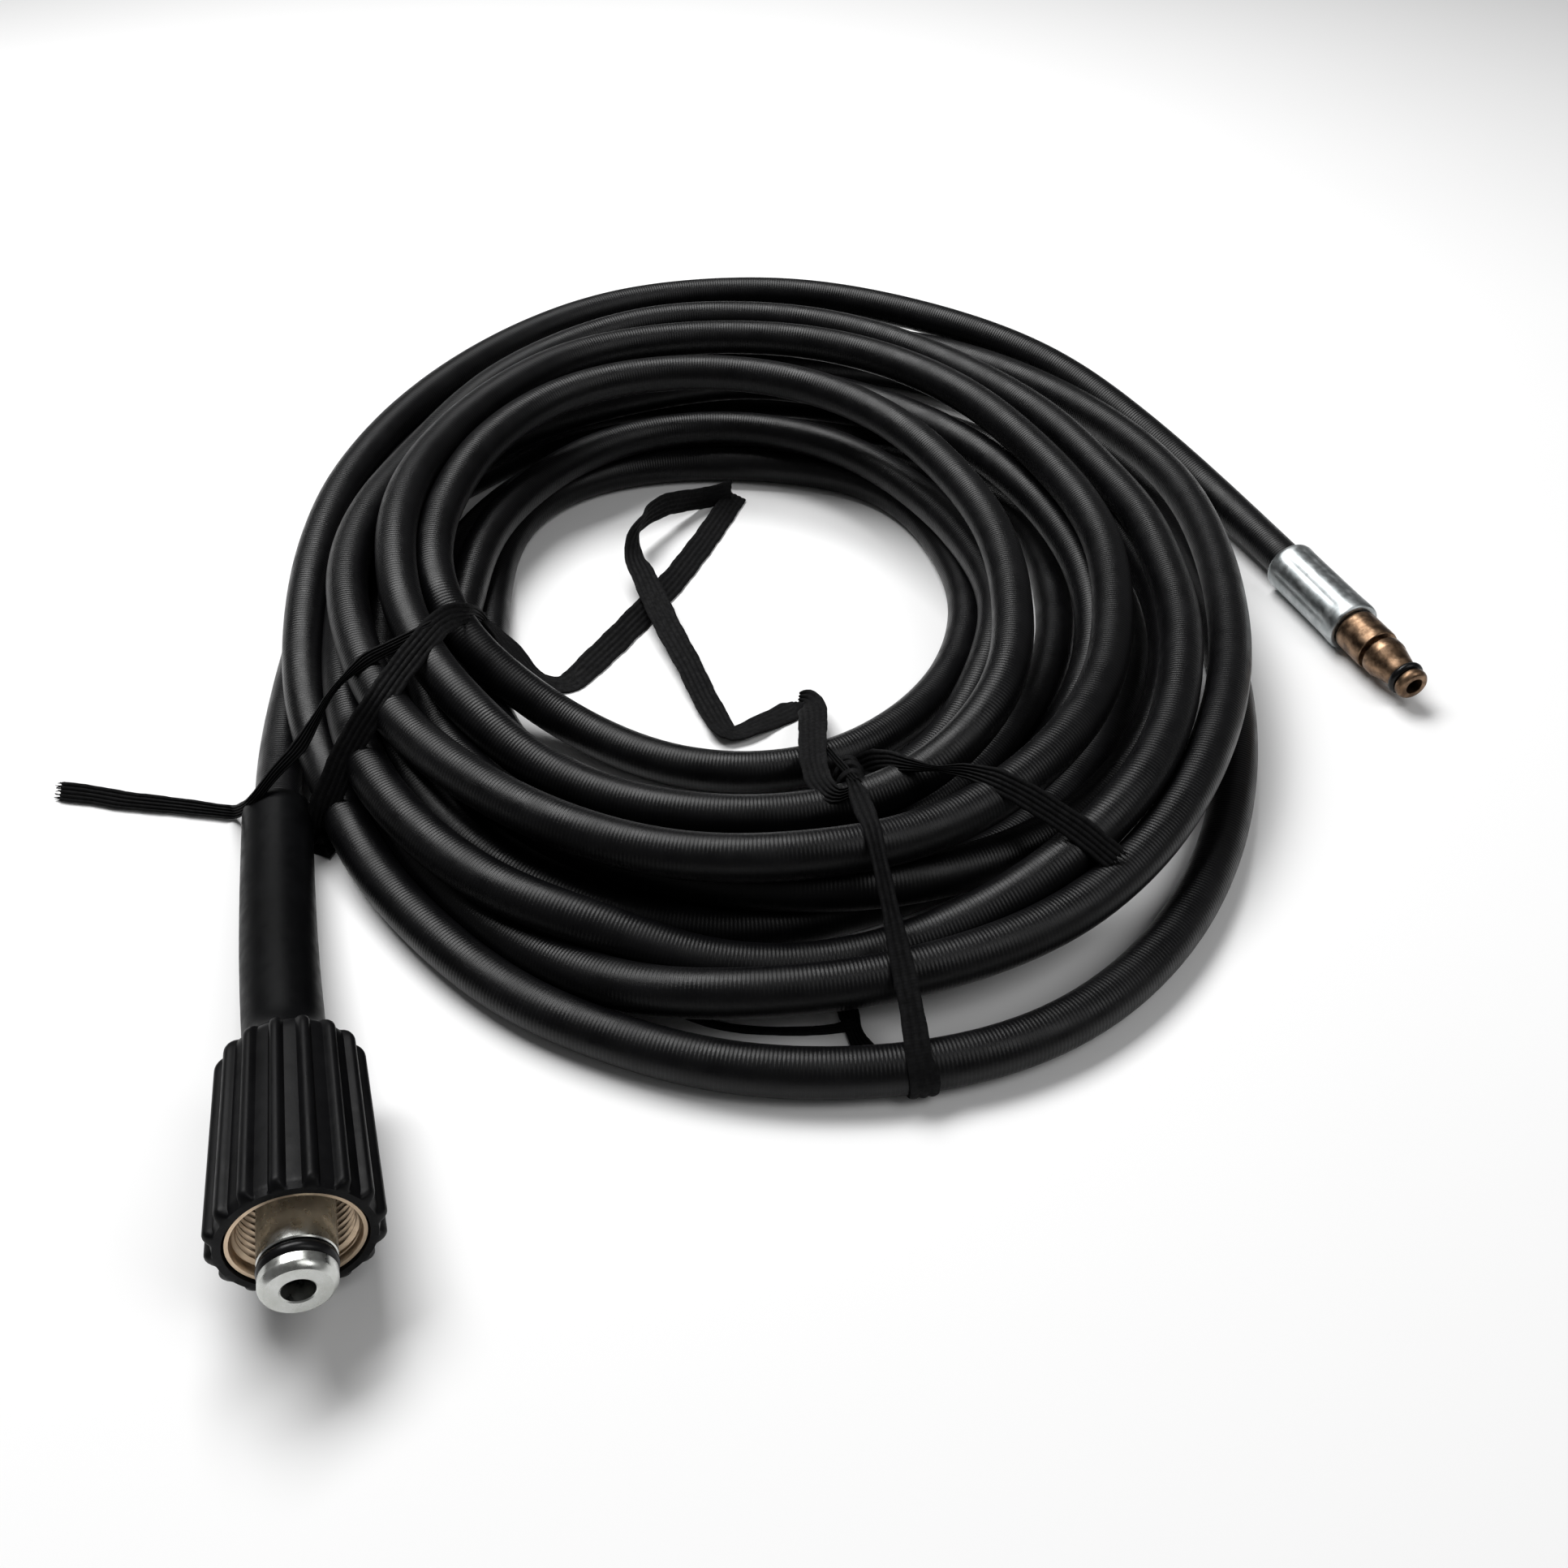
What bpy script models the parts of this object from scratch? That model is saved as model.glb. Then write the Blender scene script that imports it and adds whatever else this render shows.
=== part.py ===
"""High pressure washer hose, coiled and tied, lying on a level floor.

Metres, +Z up.  The coil lies flat and its axis is vertical.  The threaded
end points to -Y (the front), the plug-in nipple points to +X and -Y.
The coil's bore is centred on AXIS_X, AXIS_Y; the origin is the middle of
the object's footprint, on the floor.
"""

import math

import bmesh
import bpy
from mathutils import Matrix, Vector

# ---------------------------------------------------------------- dimensions
MM = 0.001
GAP = 0.0003                 # clearance between touching pieces

HOSE_OD = 11.2 * MM          # 1/4 inch high pressure hose
HOSE_R = HOSE_OD / 2

AXIS_X = -15.5 * MM          # middle of the coil's bore
AXIS_Y = 30.7 * MM
BORE_A = 67.0 * MM           # the bore is a little deeper than wide
BORE_B = 75.0 * MM
RIM_X = 18.5 * MM            # the outside is set off from the bore
RIM_Y = -4.0 * MM
RIM_A = 127.0 * MM
RIM_B = 154.0 * MM
COIL_H = 42.0 * MM
COIL_SEGMENTS = 44

# threaded end (M22 x 1.5 nut on a 14 mm plug)
NUT_FRONT = Vector((-82.4, -192.4, 19.3)) * MM   # middle of the front face
NUT_AZIMUTH = math.radians(-72.6)                # the way the plug points
NUT_TILT = math.radians(5.5)
NUT_LENGTH = 45.0 * MM
NUT_R_FRONT = 16.1 * MM
NUT_R_REAR = 14.6 * MM
RIBS = 16
RIB_HEIGHT = 1.5 * MM
INSERT_R = 12.4 * MM
INSERT_LENGTH = 20.0 * MM
THREAD_R = 10.4 * MM
STEM_HOLE_R = 6.3 * MM
LIP_THICKNESS = 2.5 * MM
STEM_SHANK_R = 6.0 * MM
PLUG_R = 7.0 * MM
PLUG_REACH = 10.6 * MM       # how far the plug stands out of the nut
FLANGE_R = 9.6 * MM
BORE_R = 3.0 * MM
SLEEVE_R = 8.4 * MM
SLEEVE_LENGTH = 108.0 * MM
SLEEVE_SAG = math.radians(5.3)   # how far its end levels out on the floor
SLEEVE_BOW = 1.9 * MM        # how far its middle bends to the left

# plug-in end
FERRULE_R = 7.8 * MM
FERRULE_LENGTH = 35.6 * MM
FERRULE_START = Vector((162.98, 45.8, 7.9)) * MM
FERRULE_AZIMUTH = math.radians(-73.5)

TAPE_W = 8.0 * MM
TAPE_T = 1.0 * MM


# ------------------------------------------------------------------- helpers
def clear_scene():
    for ob in list(bpy.data.objects):
        bpy.data.objects.remove(ob, do_unlink=True)


def material(name, colour, roughness, metallic=0.0):
    mat = bpy.data.materials.new(name)
    mat.use_nodes = True
    bsdf = mat.node_tree.nodes["Principled BSDF"]
    bsdf.inputs["Base Color"].default_value = (*colour, 1.0)
    bsdf.inputs["Roughness"].default_value = roughness
    bsdf.inputs["Metallic"].default_value = metallic
    return mat


def add_object(name, bm, mat, matrix=None):
    bmesh.ops.recalc_face_normals(bm, faces=bm.faces[:])
    mesh = bpy.data.meshes.new(name)
    bm.to_mesh(mesh)
    bm.free()
    ob = bpy.data.objects.new(name, mesh)
    bpy.context.collection.objects.link(ob)
    if matrix is not None:
        ob.matrix_world = matrix
    mesh.materials.append(mat)
    mesh.shade_smooth()
    mesh.set_sharp_from_angle(angle=math.radians(35))
    return ob


def axis_matrix(origin, azimuth, tilt=0.0):
    """Frame at origin whose Z runs along the direction, X level."""
    z = Vector((math.cos(tilt) * math.cos(azimuth),
                math.cos(tilt) * math.sin(azimuth), math.sin(tilt)))
    x = Vector((0, 0, 1)).cross(z).normalized()
    y = z.cross(x)
    m = Matrix((x, y, z)).transposed().to_4x4()
    m.translation = origin
    return m


def turned_bmesh(profile, segments, phase=0.0):
    """Closed profile of (radius, height) turned about Z with a spin."""
    bm = bmesh.new()
    c, s = math.cos(phase), math.sin(phase)
    verts = [bm.verts.new((r * c, r * s, z)) for r, z in profile]
    for a, b in zip(verts, verts[1:] + verts[:1]):
        bm.edges.new((a, b))
    bmesh.ops.spin(bm, geom=verts + bm.edges[:], cent=(0, 0, 0),
                   axis=(0, 0, 1), angle=2 * math.pi, steps=segments,
                   use_merge=True, use_duplicate=False)
    bmesh.ops.remove_doubles(bm, verts=bm.verts[:], dist=1e-6)
    return bm


def turned(name, profile, segments, mat, matrix=None, phase=0.0):
    return add_object(name, turned_bmesh(profile, segments, phase), mat, matrix)


def smooth_path(points, spacing):
    """Evenly spaced points on a smooth curve through the route's points."""
    pts = [Vector(p) for p in points]
    ext = [2 * pts[0] - pts[1]] + pts + [2 * pts[-1] - pts[-2]]
    fine = []
    for i in range(1, len(ext) - 2):
        p0, p1, p2, p3 = ext[i - 1], ext[i], ext[i + 1], ext[i + 2]
        t0 = 0.0
        t1 = t0 + math.sqrt((p1 - p0).length)
        t2 = t1 + math.sqrt((p2 - p1).length)
        t3 = t2 + math.sqrt((p3 - p2).length)
        for k in range(24):
            t = t1 + (t2 - t1) * k / 24
            a1 = p0 * ((t1 - t) / (t1 - t0)) + p1 * ((t - t0) / (t1 - t0))
            a2 = p1 * ((t2 - t) / (t2 - t1)) + p2 * ((t - t1) / (t2 - t1))
            a3 = p2 * ((t3 - t) / (t3 - t2)) + p3 * ((t - t2) / (t3 - t2))
            b1 = a1 * ((t2 - t) / (t2 - t0)) + a2 * ((t - t0) / (t2 - t0))
            b2 = a2 * ((t3 - t) / (t3 - t1)) + a3 * ((t - t1) / (t3 - t1))
            fine.append(b1 * ((t2 - t) / (t2 - t1)) + b2 * ((t - t1) / (t2 - t1)))
    fine.append(pts[-1])
    run = [0.0]
    for a, b in zip(fine, fine[1:]):
        run.append(run[-1] + (b - a).length)
    count = max(2, round(run[-1] / spacing))
    out, j = [], 0
    for k in range(count + 1):
        d = run[-1] * k / count
        while j < len(run) - 2 and run[j + 1] < d:
            j += 1
        f = (d - run[j]) / (run[j + 1] - run[j])
        out.append(fine[j].lerp(fine[j + 1], f))
    return out


def hose_tube(name, points, mat):
    """Round hose as a curve with a bevel, on a poly spline, ends capped."""
    cu = bpy.data.curves.new(name, "CURVE")
    cu.dimensions = "3D"
    cu.bevel_depth = HOSE_R
    cu.bevel_resolution = 3
    cu.render_resolution_u = 0
    cu.use_fill_caps = True
    sp = cu.splines.new("POLY")
    sp.points.add(len(points) - 1)
    for q, p in zip(sp.points, points):
        q.co = (*p, 1.0)
    ob = bpy.data.objects.new(name, cu)
    bpy.context.collection.objects.link(ob)
    cu.materials.append(mat)
    return ob


def sleeve(name, points, r_out, r_in, sides, mat):
    """Bent sleeve: rings of two radii along a path, joined at both ends."""
    bm = bmesh.new()
    rings = []
    for i, p in enumerate(points):
        t = (points[min(i + 1, len(points) - 1)] - points[max(i - 1, 0)]).normalized()
        x = Vector((0, 0, 1)).cross(t).normalized()
        y = t.cross(x)
        row = []
        for r in (r_out[i], r_in):
            row.append([bm.verts.new(p + (x * math.cos(a) + y * math.sin(a)) * r)
                        for a in (2 * math.pi * k / sides for k in range(sides))])
        rings.append(row)
    for a, b in zip(rings, rings[1:]):
        for w in (0, 1):
            for k in range(sides):
                n = (k + 1) % sides
                bm.faces.new((a[w][k], a[w][n], b[w][n], b[w][k]))
    for row in (rings[0], rings[-1]):
        for k in range(sides):
            n = (k + 1) % sides
            bm.faces.new((row[0][k], row[0][n], row[1][n], row[1][k]))
    return add_object(name, bm, mat)


def tape(name, route, mat, width=TAPE_W, thickness=TAPE_T, longest=0.012):
    """Flat tape: a rectangle carried along a route.  Its width stays level,
    square to the way the tape heads, also where it climbs or drops."""
    path = []
    for a, b in zip(route, route[1:]):
        n = max(1, math.ceil((b - a).length / longest))
        path += [a.lerp(b, k / n) for k in range(n)]
    path.append(route[-1])
    bm = bmesh.new()
    rings, w = [], None
    for i, p in enumerate(path):
        t = (path[min(i + 1, len(path) - 1)] - path[max(i - 1, 0)]).normalized()
        side = Vector((-t.y, t.x, 0))
        if w is None or side.length > 0.35:
            side.normalize()
            w = side if w is None or side.dot(w) >= 0 else -side
        across = (w - t * w.dot(t)).normalized()
        n = t.cross(across)
        rings.append([bm.verts.new(p + across * (a * width / 2) + n * (b * thickness / 2))
                      for a, b in ((-1, -1), (1, -1), (1, 1), (-1, 1))])
    for a, b in zip(rings, rings[1:]):
        for k in range(4):
            m = (k + 1) % 4
            bm.faces.new((a[k], a[m], b[m], b[k]))
    bm.faces.new(rings[0])
    bm.faces.new(rings[-1][::-1])
    return add_object(name, bm, mat)


def join_to(ob, other):
    """Union of a helper piece with the tape that it is part of."""
    other.hide_render = True
    other.display_type = "WIRE"
    mod = ob.modifiers.new(other.name, "BOOLEAN")
    mod.operation = "UNION"
    mod.solver = "EXACT"
    mod.object = other


def polar(r, azimuth_deg, z):
    """Point at r and azimuth about the bore's axis, all lengths in mm."""
    a = math.radians(azimuth_deg)
    return Vector((AXIS_X + r * MM * math.cos(a), AXIS_Y + r * MM * math.sin(a), z * MM))


def reach(azimuth, half_x, half_y, off_x=0.0, off_y=0.0):
    """Distance from the bore's axis to an ellipse, set off by off_x, off_y."""
    c, s = math.cos(azimuth) / half_x, math.sin(azimuth) / half_y
    u, v = off_x / half_x, off_y / half_y
    dot = c * u + s * v
    square = c * c + s * s
    return (dot + math.sqrt(dot * dot - square * (u * u + v * v - 1))) / square


def bore_mm(azimuth_deg):
    return reach(math.radians(azimuth_deg), BORE_A, BORE_B) / MM


def rim_mm(azimuth_deg):
    return reach(math.radians(azimuth_deg), RIM_A, RIM_B, RIM_X, RIM_Y) / MM


# ---------------------------------------------------------------------- coil
def coil_profile():
    """Section of the coil, 1 wide from the bore (1) to the rim (2): the
    rounded turns show on every side of it."""
    across, high = 5, 3
    step_r = 1.0 / across
    step_z = COIL_H / high
    pts = []

    def hump(cx, cz, rx, rz, start, n=3):
        for k in range(n):
            a = math.radians(start - 90.0 * (2 * k + 1) / n)
            pts.append((cx + rx * math.cos(a), cz + rz * math.sin(a)))

    for i in range(across):                       # along the top, outwards
        hump(1 + step_r * (i + 0.5), COIL_H - step_z / 2, step_r / 2, step_z / 2, 180.0)
    for i in range(high):                         # down the outer side
        hump(2 - step_r / 2, COIL_H - step_z * (i + 0.5), step_r / 2, step_z / 2, 90.0)
    for i in range(across):                       # back along the floor
        hump(2 - step_r * (i + 0.5), step_z / 2, step_r / 2, step_z / 2, 0.0)
    for i in range(high):                         # up the bore
        hump(1 + step_r / 2, step_z * (i + 0.5), step_r / 2, step_z / 2, -90.0)
    low = min(z for _, z in pts)
    top = max(z for _, z in pts)
    return [(r, (z - low) * COIL_H / (top - low)) for r, z in pts]


def make_coil(mat):
    """Turned ring, then eased from round to the bore's and the rim's ovals."""
    bm = turned_bmesh(coil_profile(), COIL_SEGMENTS)
    for v in bm.verts:
        a = math.atan2(v.co.y, v.co.x)
        part = math.hypot(v.co.x, v.co.y) - 1.0
        r0 = reach(a, BORE_A, BORE_B)
        r = r0 + (reach(a, RIM_A, RIM_B, RIM_X, RIM_Y) - r0) * part
        v.co.x, v.co.y = r * math.cos(a), r * math.sin(a)
    bmesh.ops.triangulate(bm, faces=bm.faces[:])
    place = Matrix.Translation((AXIS_X, AXIS_Y, 0))
    return add_object("hose_coil", bm, mat, place)


# ------------------------------------------------------------- threaded end
def rib_outline(z):
    """Outline of the ribbed grip at height z from its rear face."""
    base = NUT_R_REAR + (NUT_R_FRONT - NUT_R_REAR) * z / NUT_LENGTH
    edge = min(z, NUT_LENGTH - z) / (3.0 * MM)
    lift = math.sqrt(max(0.0, 1 - (1 - min(1.0, edge)) ** 2))
    pts = []
    for k in range(RIBS * 4):
        a = 2 * math.pi * k / (RIBS * 4)
        wave = (1.0, 0.45, 0.0, 0.45)[k % 4]
        r = base - RIB_HEIGHT + RIB_HEIGHT * wave * lift - (1 - lift) * 0.9 * MM
        pts.append((r * math.cos(a), r * math.sin(a)))
    return pts


def make_nut(plastic, brass):
    nut = axis_matrix(NUT_FRONT, NUT_AZIMUTH, NUT_TILT)
    bm = bmesh.new()
    stations = [0.0, 1.0, 3.0, 14.0, 28.0, 38.0, 42.0, 44.0, 45.0]
    rings = []
    for s in stations:
        z = s * MM
        rings.append([bm.verts.new((x, y, z - NUT_LENGTH)) for x, y in rib_outline(z)])
    n = len(rings[0])
    # stepped bore, on the same spokes as the outline
    bore_r = INSERT_R + GAP
    rear_r = SLEEVE_R + 1.4 * MM
    seat = INSERT_LENGTH + GAP
    bores = [(bore_r, 0.0), (bore_r, -seat), (rear_r, -seat - 0.5 * MM), (rear_r, -NUT_LENGTH)]
    inner = []
    for r, z in bores:
        inner.append([bm.verts.new((r * math.cos(2 * math.pi * k / n),
                                    r * math.sin(2 * math.pi * k / n), z))
                      for k in range(n)])
    loops = rings + inner
    for a, b in zip(loops, loops[1:] + loops[:1]):
        for k in range(n):
            m = (k + 1) % n
            bm.faces.new((a[k], a[m], b[m], b[k]))
    add_object("grip_nut", bm, plastic, nut)

    lip = -INSERT_LENGTH + LIP_THICKNESS
    profile = [
        (INSERT_R, -0.4 * MM), (INSERT_R, -INSERT_LENGTH),
        (STEM_HOLE_R, -INSERT_LENGTH), (STEM_HOLE_R, lip),
        (THREAD_R, lip), (THREAD_R, -1.2 * MM),
        (THREAD_R + 0.8 * MM, -0.4 * MM),
    ]
    turned("nut_insert", profile, 48, brass, nut)


def make_stem(steel, rubber, plastic):
    nut = axis_matrix(NUT_FRONT, NUT_AZIMUTH, NUT_TILT)
    lip = -INSERT_LENGTH + LIP_THICKNESS
    front = PLUG_REACH
    groove = front - 4.7 * MM
    profile = [
        (BORE_R, front), (PLUG_R - 1.0 * MM, front), (PLUG_R - 0.2 * MM, front - 0.9 * MM),
        (PLUG_R - 0.2 * MM, groove + 1.6 * MM), (PLUG_R - 2.0 * MM, groove + 1.4 * MM),
        (PLUG_R - 2.0 * MM, groove - 1.4 * MM), (PLUG_R, groove - 1.6 * MM),
        (PLUG_R, lip + GAP + 2.2 * MM), (FLANGE_R, lip + GAP + 1.8 * MM),
        (FLANGE_R, lip + GAP), (STEM_SHANK_R, lip + GAP),
        (STEM_SHANK_R, -INSERT_LENGTH - 1.5 * MM), (STEM_SHANK_R, -INSERT_LENGTH - 4.0 * MM),
        (BORE_R, -INSERT_LENGTH - 4.0 * MM),
    ]
    turned("plug_stem", profile, 48, steel, nut)

    ring_r = PLUG_R - 0.75 * MM
    half = 1.0 * MM
    ring = []
    for k in range(8):
        a = 2 * math.pi * k / 8
        ring.append((ring_r + half * math.cos(a), groove - half * math.sin(a)))
    turned("plug_o_ring", ring, 48, rubber, nut)

    # bend sleeve over the hose's end, rounded where the hose leaves it
    path = sleeve_path()
    n = len(path) - 1
    r_out = []
    for i in range(n + 1):
        s = i / n
        r = SLEEVE_R
        if s > 0.94:
            r = SLEEVE_R - 1.6 * MM * ((s - 0.94) / 0.06) ** 2
        r_out.append(r)
    sleeve("bend_sleeve", path, r_out, HOSE_R + GAP, 20, plastic)


def sleeve_path():
    """Points from the stem's tail back to the sleeve's open end.  It comes
    down to the floor, levels out there and bows a little to the left."""
    nut = axis_matrix(NUT_FRONT, NUT_AZIMUTH, NUT_TILT)
    first = -INSERT_LENGTH - 4.0 * MM - GAP
    straight = 62.0 * MM
    steps = 10
    step = SLEEVE_LENGTH / steps
    pts = [nut @ Vector((0, 0, first))]
    for i in range(steps):
        bent = max(0.0, (step * (i + 0.5) - straight) / (SLEEVE_LENGTH - straight))
        tilt = NUT_TILT - SLEEVE_SAG * bent
        pts.append(pts[-1] - Vector((math.cos(tilt) * math.cos(NUT_AZIMUTH),
                                     math.cos(tilt) * math.sin(NUT_AZIMUTH),
                                     math.sin(tilt))) * step)
    left = Vector((math.sin(NUT_AZIMUTH), -math.cos(NUT_AZIMUTH), 0))
    for i in range(steps + 1):
        pts[i] = pts[i] + left * SLEEVE_BOW * math.sin(0.85 * math.pi * i / steps)
    return pts


# -------------------------------------------------------------- plug-in end
def make_nipple(steel, bronze, rubber):
    frame = axis_matrix(FERRULE_START, FERRULE_AZIMUTH)
    # crimped ferrule: eight flats between rolled ends
    bm = bmesh.new()
    sides = 32
    rings = []
    spec = [(0.0, 0.92, 0.0), (1.2, 1.0, 0.0), (4.0, 1.0, 0.0), (5.5, 0.985, 0.03),
            (29.4, 0.985, 0.03), (30.9, 1.0, 0.0), (34.6, 1.0, 0.0), (35.6, 0.94, 0.0)]
    for z, f, flute in spec:
        row = []
        for k in range(sides):
            a = 2 * math.pi * k / sides
            r = FERRULE_R * (f - flute * (1 - math.cos(8 * a)) / 2)
            row.append(bm.verts.new((r * math.cos(a), r * math.sin(a), z * MM)))
        rings.append(row)
    tail = 4.4 * MM
    socket_r = HOSE_R + GAP
    for r, z in ((tail, FERRULE_LENGTH), (tail, 29.0 * MM), (socket_r, 28.0 * MM), (socket_r, 0.0)):
        rings.append([bm.verts.new((r * math.cos(2 * math.pi * k / sides),
                                    r * math.sin(2 * math.pi * k / sides), z))
                      for k in range(sides)])
    for a, b in zip(rings, rings[1:] + rings[:1]):
        for k in range(sides):
            m = (k + 1) % sides
            bm.faces.new((a[k], a[m], b[m], b[k]))
    add_object("crimp_ferrule", bm, steel, frame)

    z0 = 30.6 * MM
    bore = 2.4 * MM
    steps = [
        (4.1, 30.6), (4.1, 35.8), (5.9, 35.9), (6.4, 36.6), (6.4, 46.9), (6.1, 47.5),
        (5.1, 47.7), (5.1, 48.6), (5.7, 48.8), (6.0, 49.3), (6.0, 51.8), (5.6, 53.0),
        (4.9, 56.1), (4.5, 57.6), (4.3, 59.2), (3.2, 59.4), (3.2, 62.0), (4.3, 62.2),
        (4.6, 62.6), (4.6, 63.6), (4.3, 64.4), (3.7, 64.9),
    ]
    profile = [(bore, z0)] + [(r * MM, z * MM) for r, z in steps] + [(bore, 64.9 * MM)]
    turned("quick_nipple", profile, 32, bronze, frame)
    ring = []
    for k in range(8):
        a = 2 * math.pi * k / 8
        ring.append((4.35 * MM + 0.85 * MM * math.cos(a), 60.7 * MM - 0.85 * MM * math.sin(a)))
    turned("nipple_o_ring", ring, 32, rubber, frame)


# --------------------------------------------------------------------- leads
def make_leads(mat):
    frame = axis_matrix(FERRULE_START, FERRULE_AZIMUTH)
    back = frame.to_3x3() @ Vector((0, 0, -1))
    socket = frame @ Vector((0, 0, 27.5 * MM))
    # outer turn: from the ferrule round the back, the left and the front,
    # then up against the coil on the right
    route = [socket, FERRULE_START - back * 14 * MM, FERRULE_START + back * 6 * MM]
    route += [polar(r, a, z) for r, a, z in (
        (173.0, 19.0, 10.0), (168.0, 30.0, 16.0), (166.0, 45.0, 24.0), (166.0, 60.0, 28.0),
        (168.5, 80.0, 30.0), (167.0, 95.0, 30.0), (160.0, 107.0, 30.0), (149.0, 120.0, 30.0),
        (137.0, 135.0, 29.0), (127.0, 150.0, 28.0), (120.5, 165.0, 27.0), (117.5, 180.0, 25.0),
        (118.5, 195.0, 22.5), (121.5, 205.0, 21.0), (125.5, 215.0, 16.5), (130.5, 224.0, 12.0),
        (138.5, 235.0, 7.6), (149.0, 247.0, 5.8), (163.0, 260.0, 5.7), (174.0, 272.0, 5.7),
        (182.0, 285.0, 5.7), (184.0, 295.0, 5.7), (180.0, 305.0, 5.7), (172.0, 317.0, 5.7),
        (163.5, 330.0, 5.7), (158.5, 340.0, 5.7), (155.0, 350.0, 5.7), (153.0, 358.0, 5.7))]
    hose_tube("outer_turn", smooth_path(route, 18 * MM), mat)

    # lead from the threaded end, under the outer turn and into the coil
    path = sleeve_path()
    inside = [path[0] + (path[1] - path[0]).normalized() * GAP] + path[2::2]
    ahead = path[-1] + (path[-1] - path[-2]).normalized() * 8 * MM
    ahead.z = 5.9 * MM + (ahead.z - 5.9 * MM) * 0.5
    route = [path[-1], ahead]
    route += [polar(r, a, z) for r, a, z in (
        (138.3, 215.4, 5.9), (132.6, 208.6, 5.7), (127.4, 201.0, 5.7), (123.4, 192.3, 5.7),
        (119.5, 183.0, 5.7), (116.0, 173.5, 5.7))]
    hose_tube("end_lead", inside[:-1] + smooth_path(route, 14 * MM), mat)


# --------------------------------------------------------------------- ties
def make_ties(mat):
    """Two lengths of elastic tape that hold the turns together."""
    top = COIL_H / MM + 0.9

    def along(rows):
        return [polar(r, a, z) for r, a, z in rows]

    # left tie: loose end on the floor, over the lead and the turns,
    # down the bore and across the floor to the far side
    rim, inn = rim_mm(209.0), bore_mm(203.0) - 1.4
    left = [
        (189.0, 206.0, 0.7), (158.0, 211.5, 0.8), (151.0, 213.0, 7.0), (146.0, 213.5, 16.0),
        (140.0, 213.5, 21.0), (134.0, 213.0, 25.0), (127.0, 212.0, 28.5), (120.0, 211.0, 34.0),
        (rim + 3.0, 210.0, top - 1.5), (rim - 3.0, 209.3, top + 1.6), (96.0, 206.5, top + 1.0),
        (82.0, 203.4, top + 0.9), (inn + 3.5, 203.0, top + 0.9), (inn, 203.0, top - 1.0),
        (inn, 203.0, 20.0), (inn - 0.5, 203.0, 4.0), (inn - 5.0, 202.0, 0.7),
        (48.0, 192.0, 0.7), (31.0, 170.0, 0.7), (40.0, 118.0, 0.7), (62.0, 101.0, 0.7),
    ]
    tape("tie_left", along(left), mat)

    # front tie: from the far side across the floor, up the bore, over the
    # turns and down in front of the outer turn; knot and loose end on top
    az = 290.0
    rim, inn = rim_mm(az), bore_mm(az) - 0.9
    front = [
        (62.0, 124.0, 0.9), (44.0, 142.0, 2.1), (31.0, 166.0, 2.2), (26.0, 200.0, 2.1),
        (33.0, 240.0, 0.9), (42.0, 270.0, 0.9), (56.0, 288.0, 0.9), (inn - 4.0, az, 0.9),
        (inn - 0.5, az, 4.0), (inn, az, 20.0), (inn, az, top - 4.0),
        (inn + 3.0, az, top + 0.2), (inn + 8.0, az, top + 0.3), (rim - 40.0, az, top),
        (rim - 10.0, az, top + 0.6), (rim - 2.0, az, top + 0.2), (rim + 4.0, az, 36.0),
        (178.0, az, 16.0), (186.0, az, 13.0), (189.6, az, 9.0), (190.2, az, 5.0),
        (189.8, az, 1.4),
    ]
    ob = tape("tie_front", along(front), mat)
    bm = bmesh.new()
    bmesh.ops.create_icosphere(bm, subdivisions=2, radius=1.0)
    knot = add_object("knot_shape", bm, mat)
    knot.matrix_world = (Matrix.Translation(polar(102.0, az, top + 3.0))
                         @ Matrix.Diagonal((6.5 * MM, 5.5 * MM, 3.2 * MM, 1.0)))
    tail = [(104.0, az + 1.0, top + 3.0), (108.0, az + 5.0, top + 2.4),
            (114.0, az + 12.0, top + 1.4), (124.0, az + 20.0, top + 1.2),
            (140.0, az + 26.0, top + 0.4)]
    loose = tape("loose_end_shape", along(tail), mat)
    join_to(ob, knot)
    join_to(ob, loose)


# ---------------------------------------------------------------------- main
def main():
    clear_scene()
    hose = material("hose_black", (0.022, 0.022, 0.024), 0.42)
    plastic = material("grip_black", (0.018, 0.018, 0.019), 0.6)
    sleeve_mat = material("sleeve_black", (0.020, 0.020, 0.022), 0.5)
    brass = material("insert_brass", (0.62, 0.45, 0.36), 0.38, 1.0)
    zinc = material("zinc_steel", (0.62, 0.63, 0.61), 0.3, 1.0)
    ferrule = material("ferrule_zinc", (0.66, 0.67, 0.66), 0.28, 1.0)
    bronze = material("nipple_bronze", (0.36, 0.24, 0.12), 0.4, 1.0)
    rubber = material("o_ring_rubber", (0.012, 0.012, 0.012), 0.35)
    fabric = material("tie_tape", (0.015, 0.015, 0.017), 0.85)
    make_coil(hose)
    make_nut(plastic, brass)
    make_stem(zinc, rubber, sleeve_mat)
    make_nipple(ferrule, bronze, rubber)
    make_leads(hose)
    make_ties(fabric)


main()
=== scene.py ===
"""Looks of the coiled high pressure hose, in the frame of its CAD.

Lengths are worked out in millimetres and scaled to metres when a mesh is made.
"""

import math

import bmesh
import bpy
import numpy as np
from mathutils import Matrix, Vector
from mathutils.bvhtree import BVHTree


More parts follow.
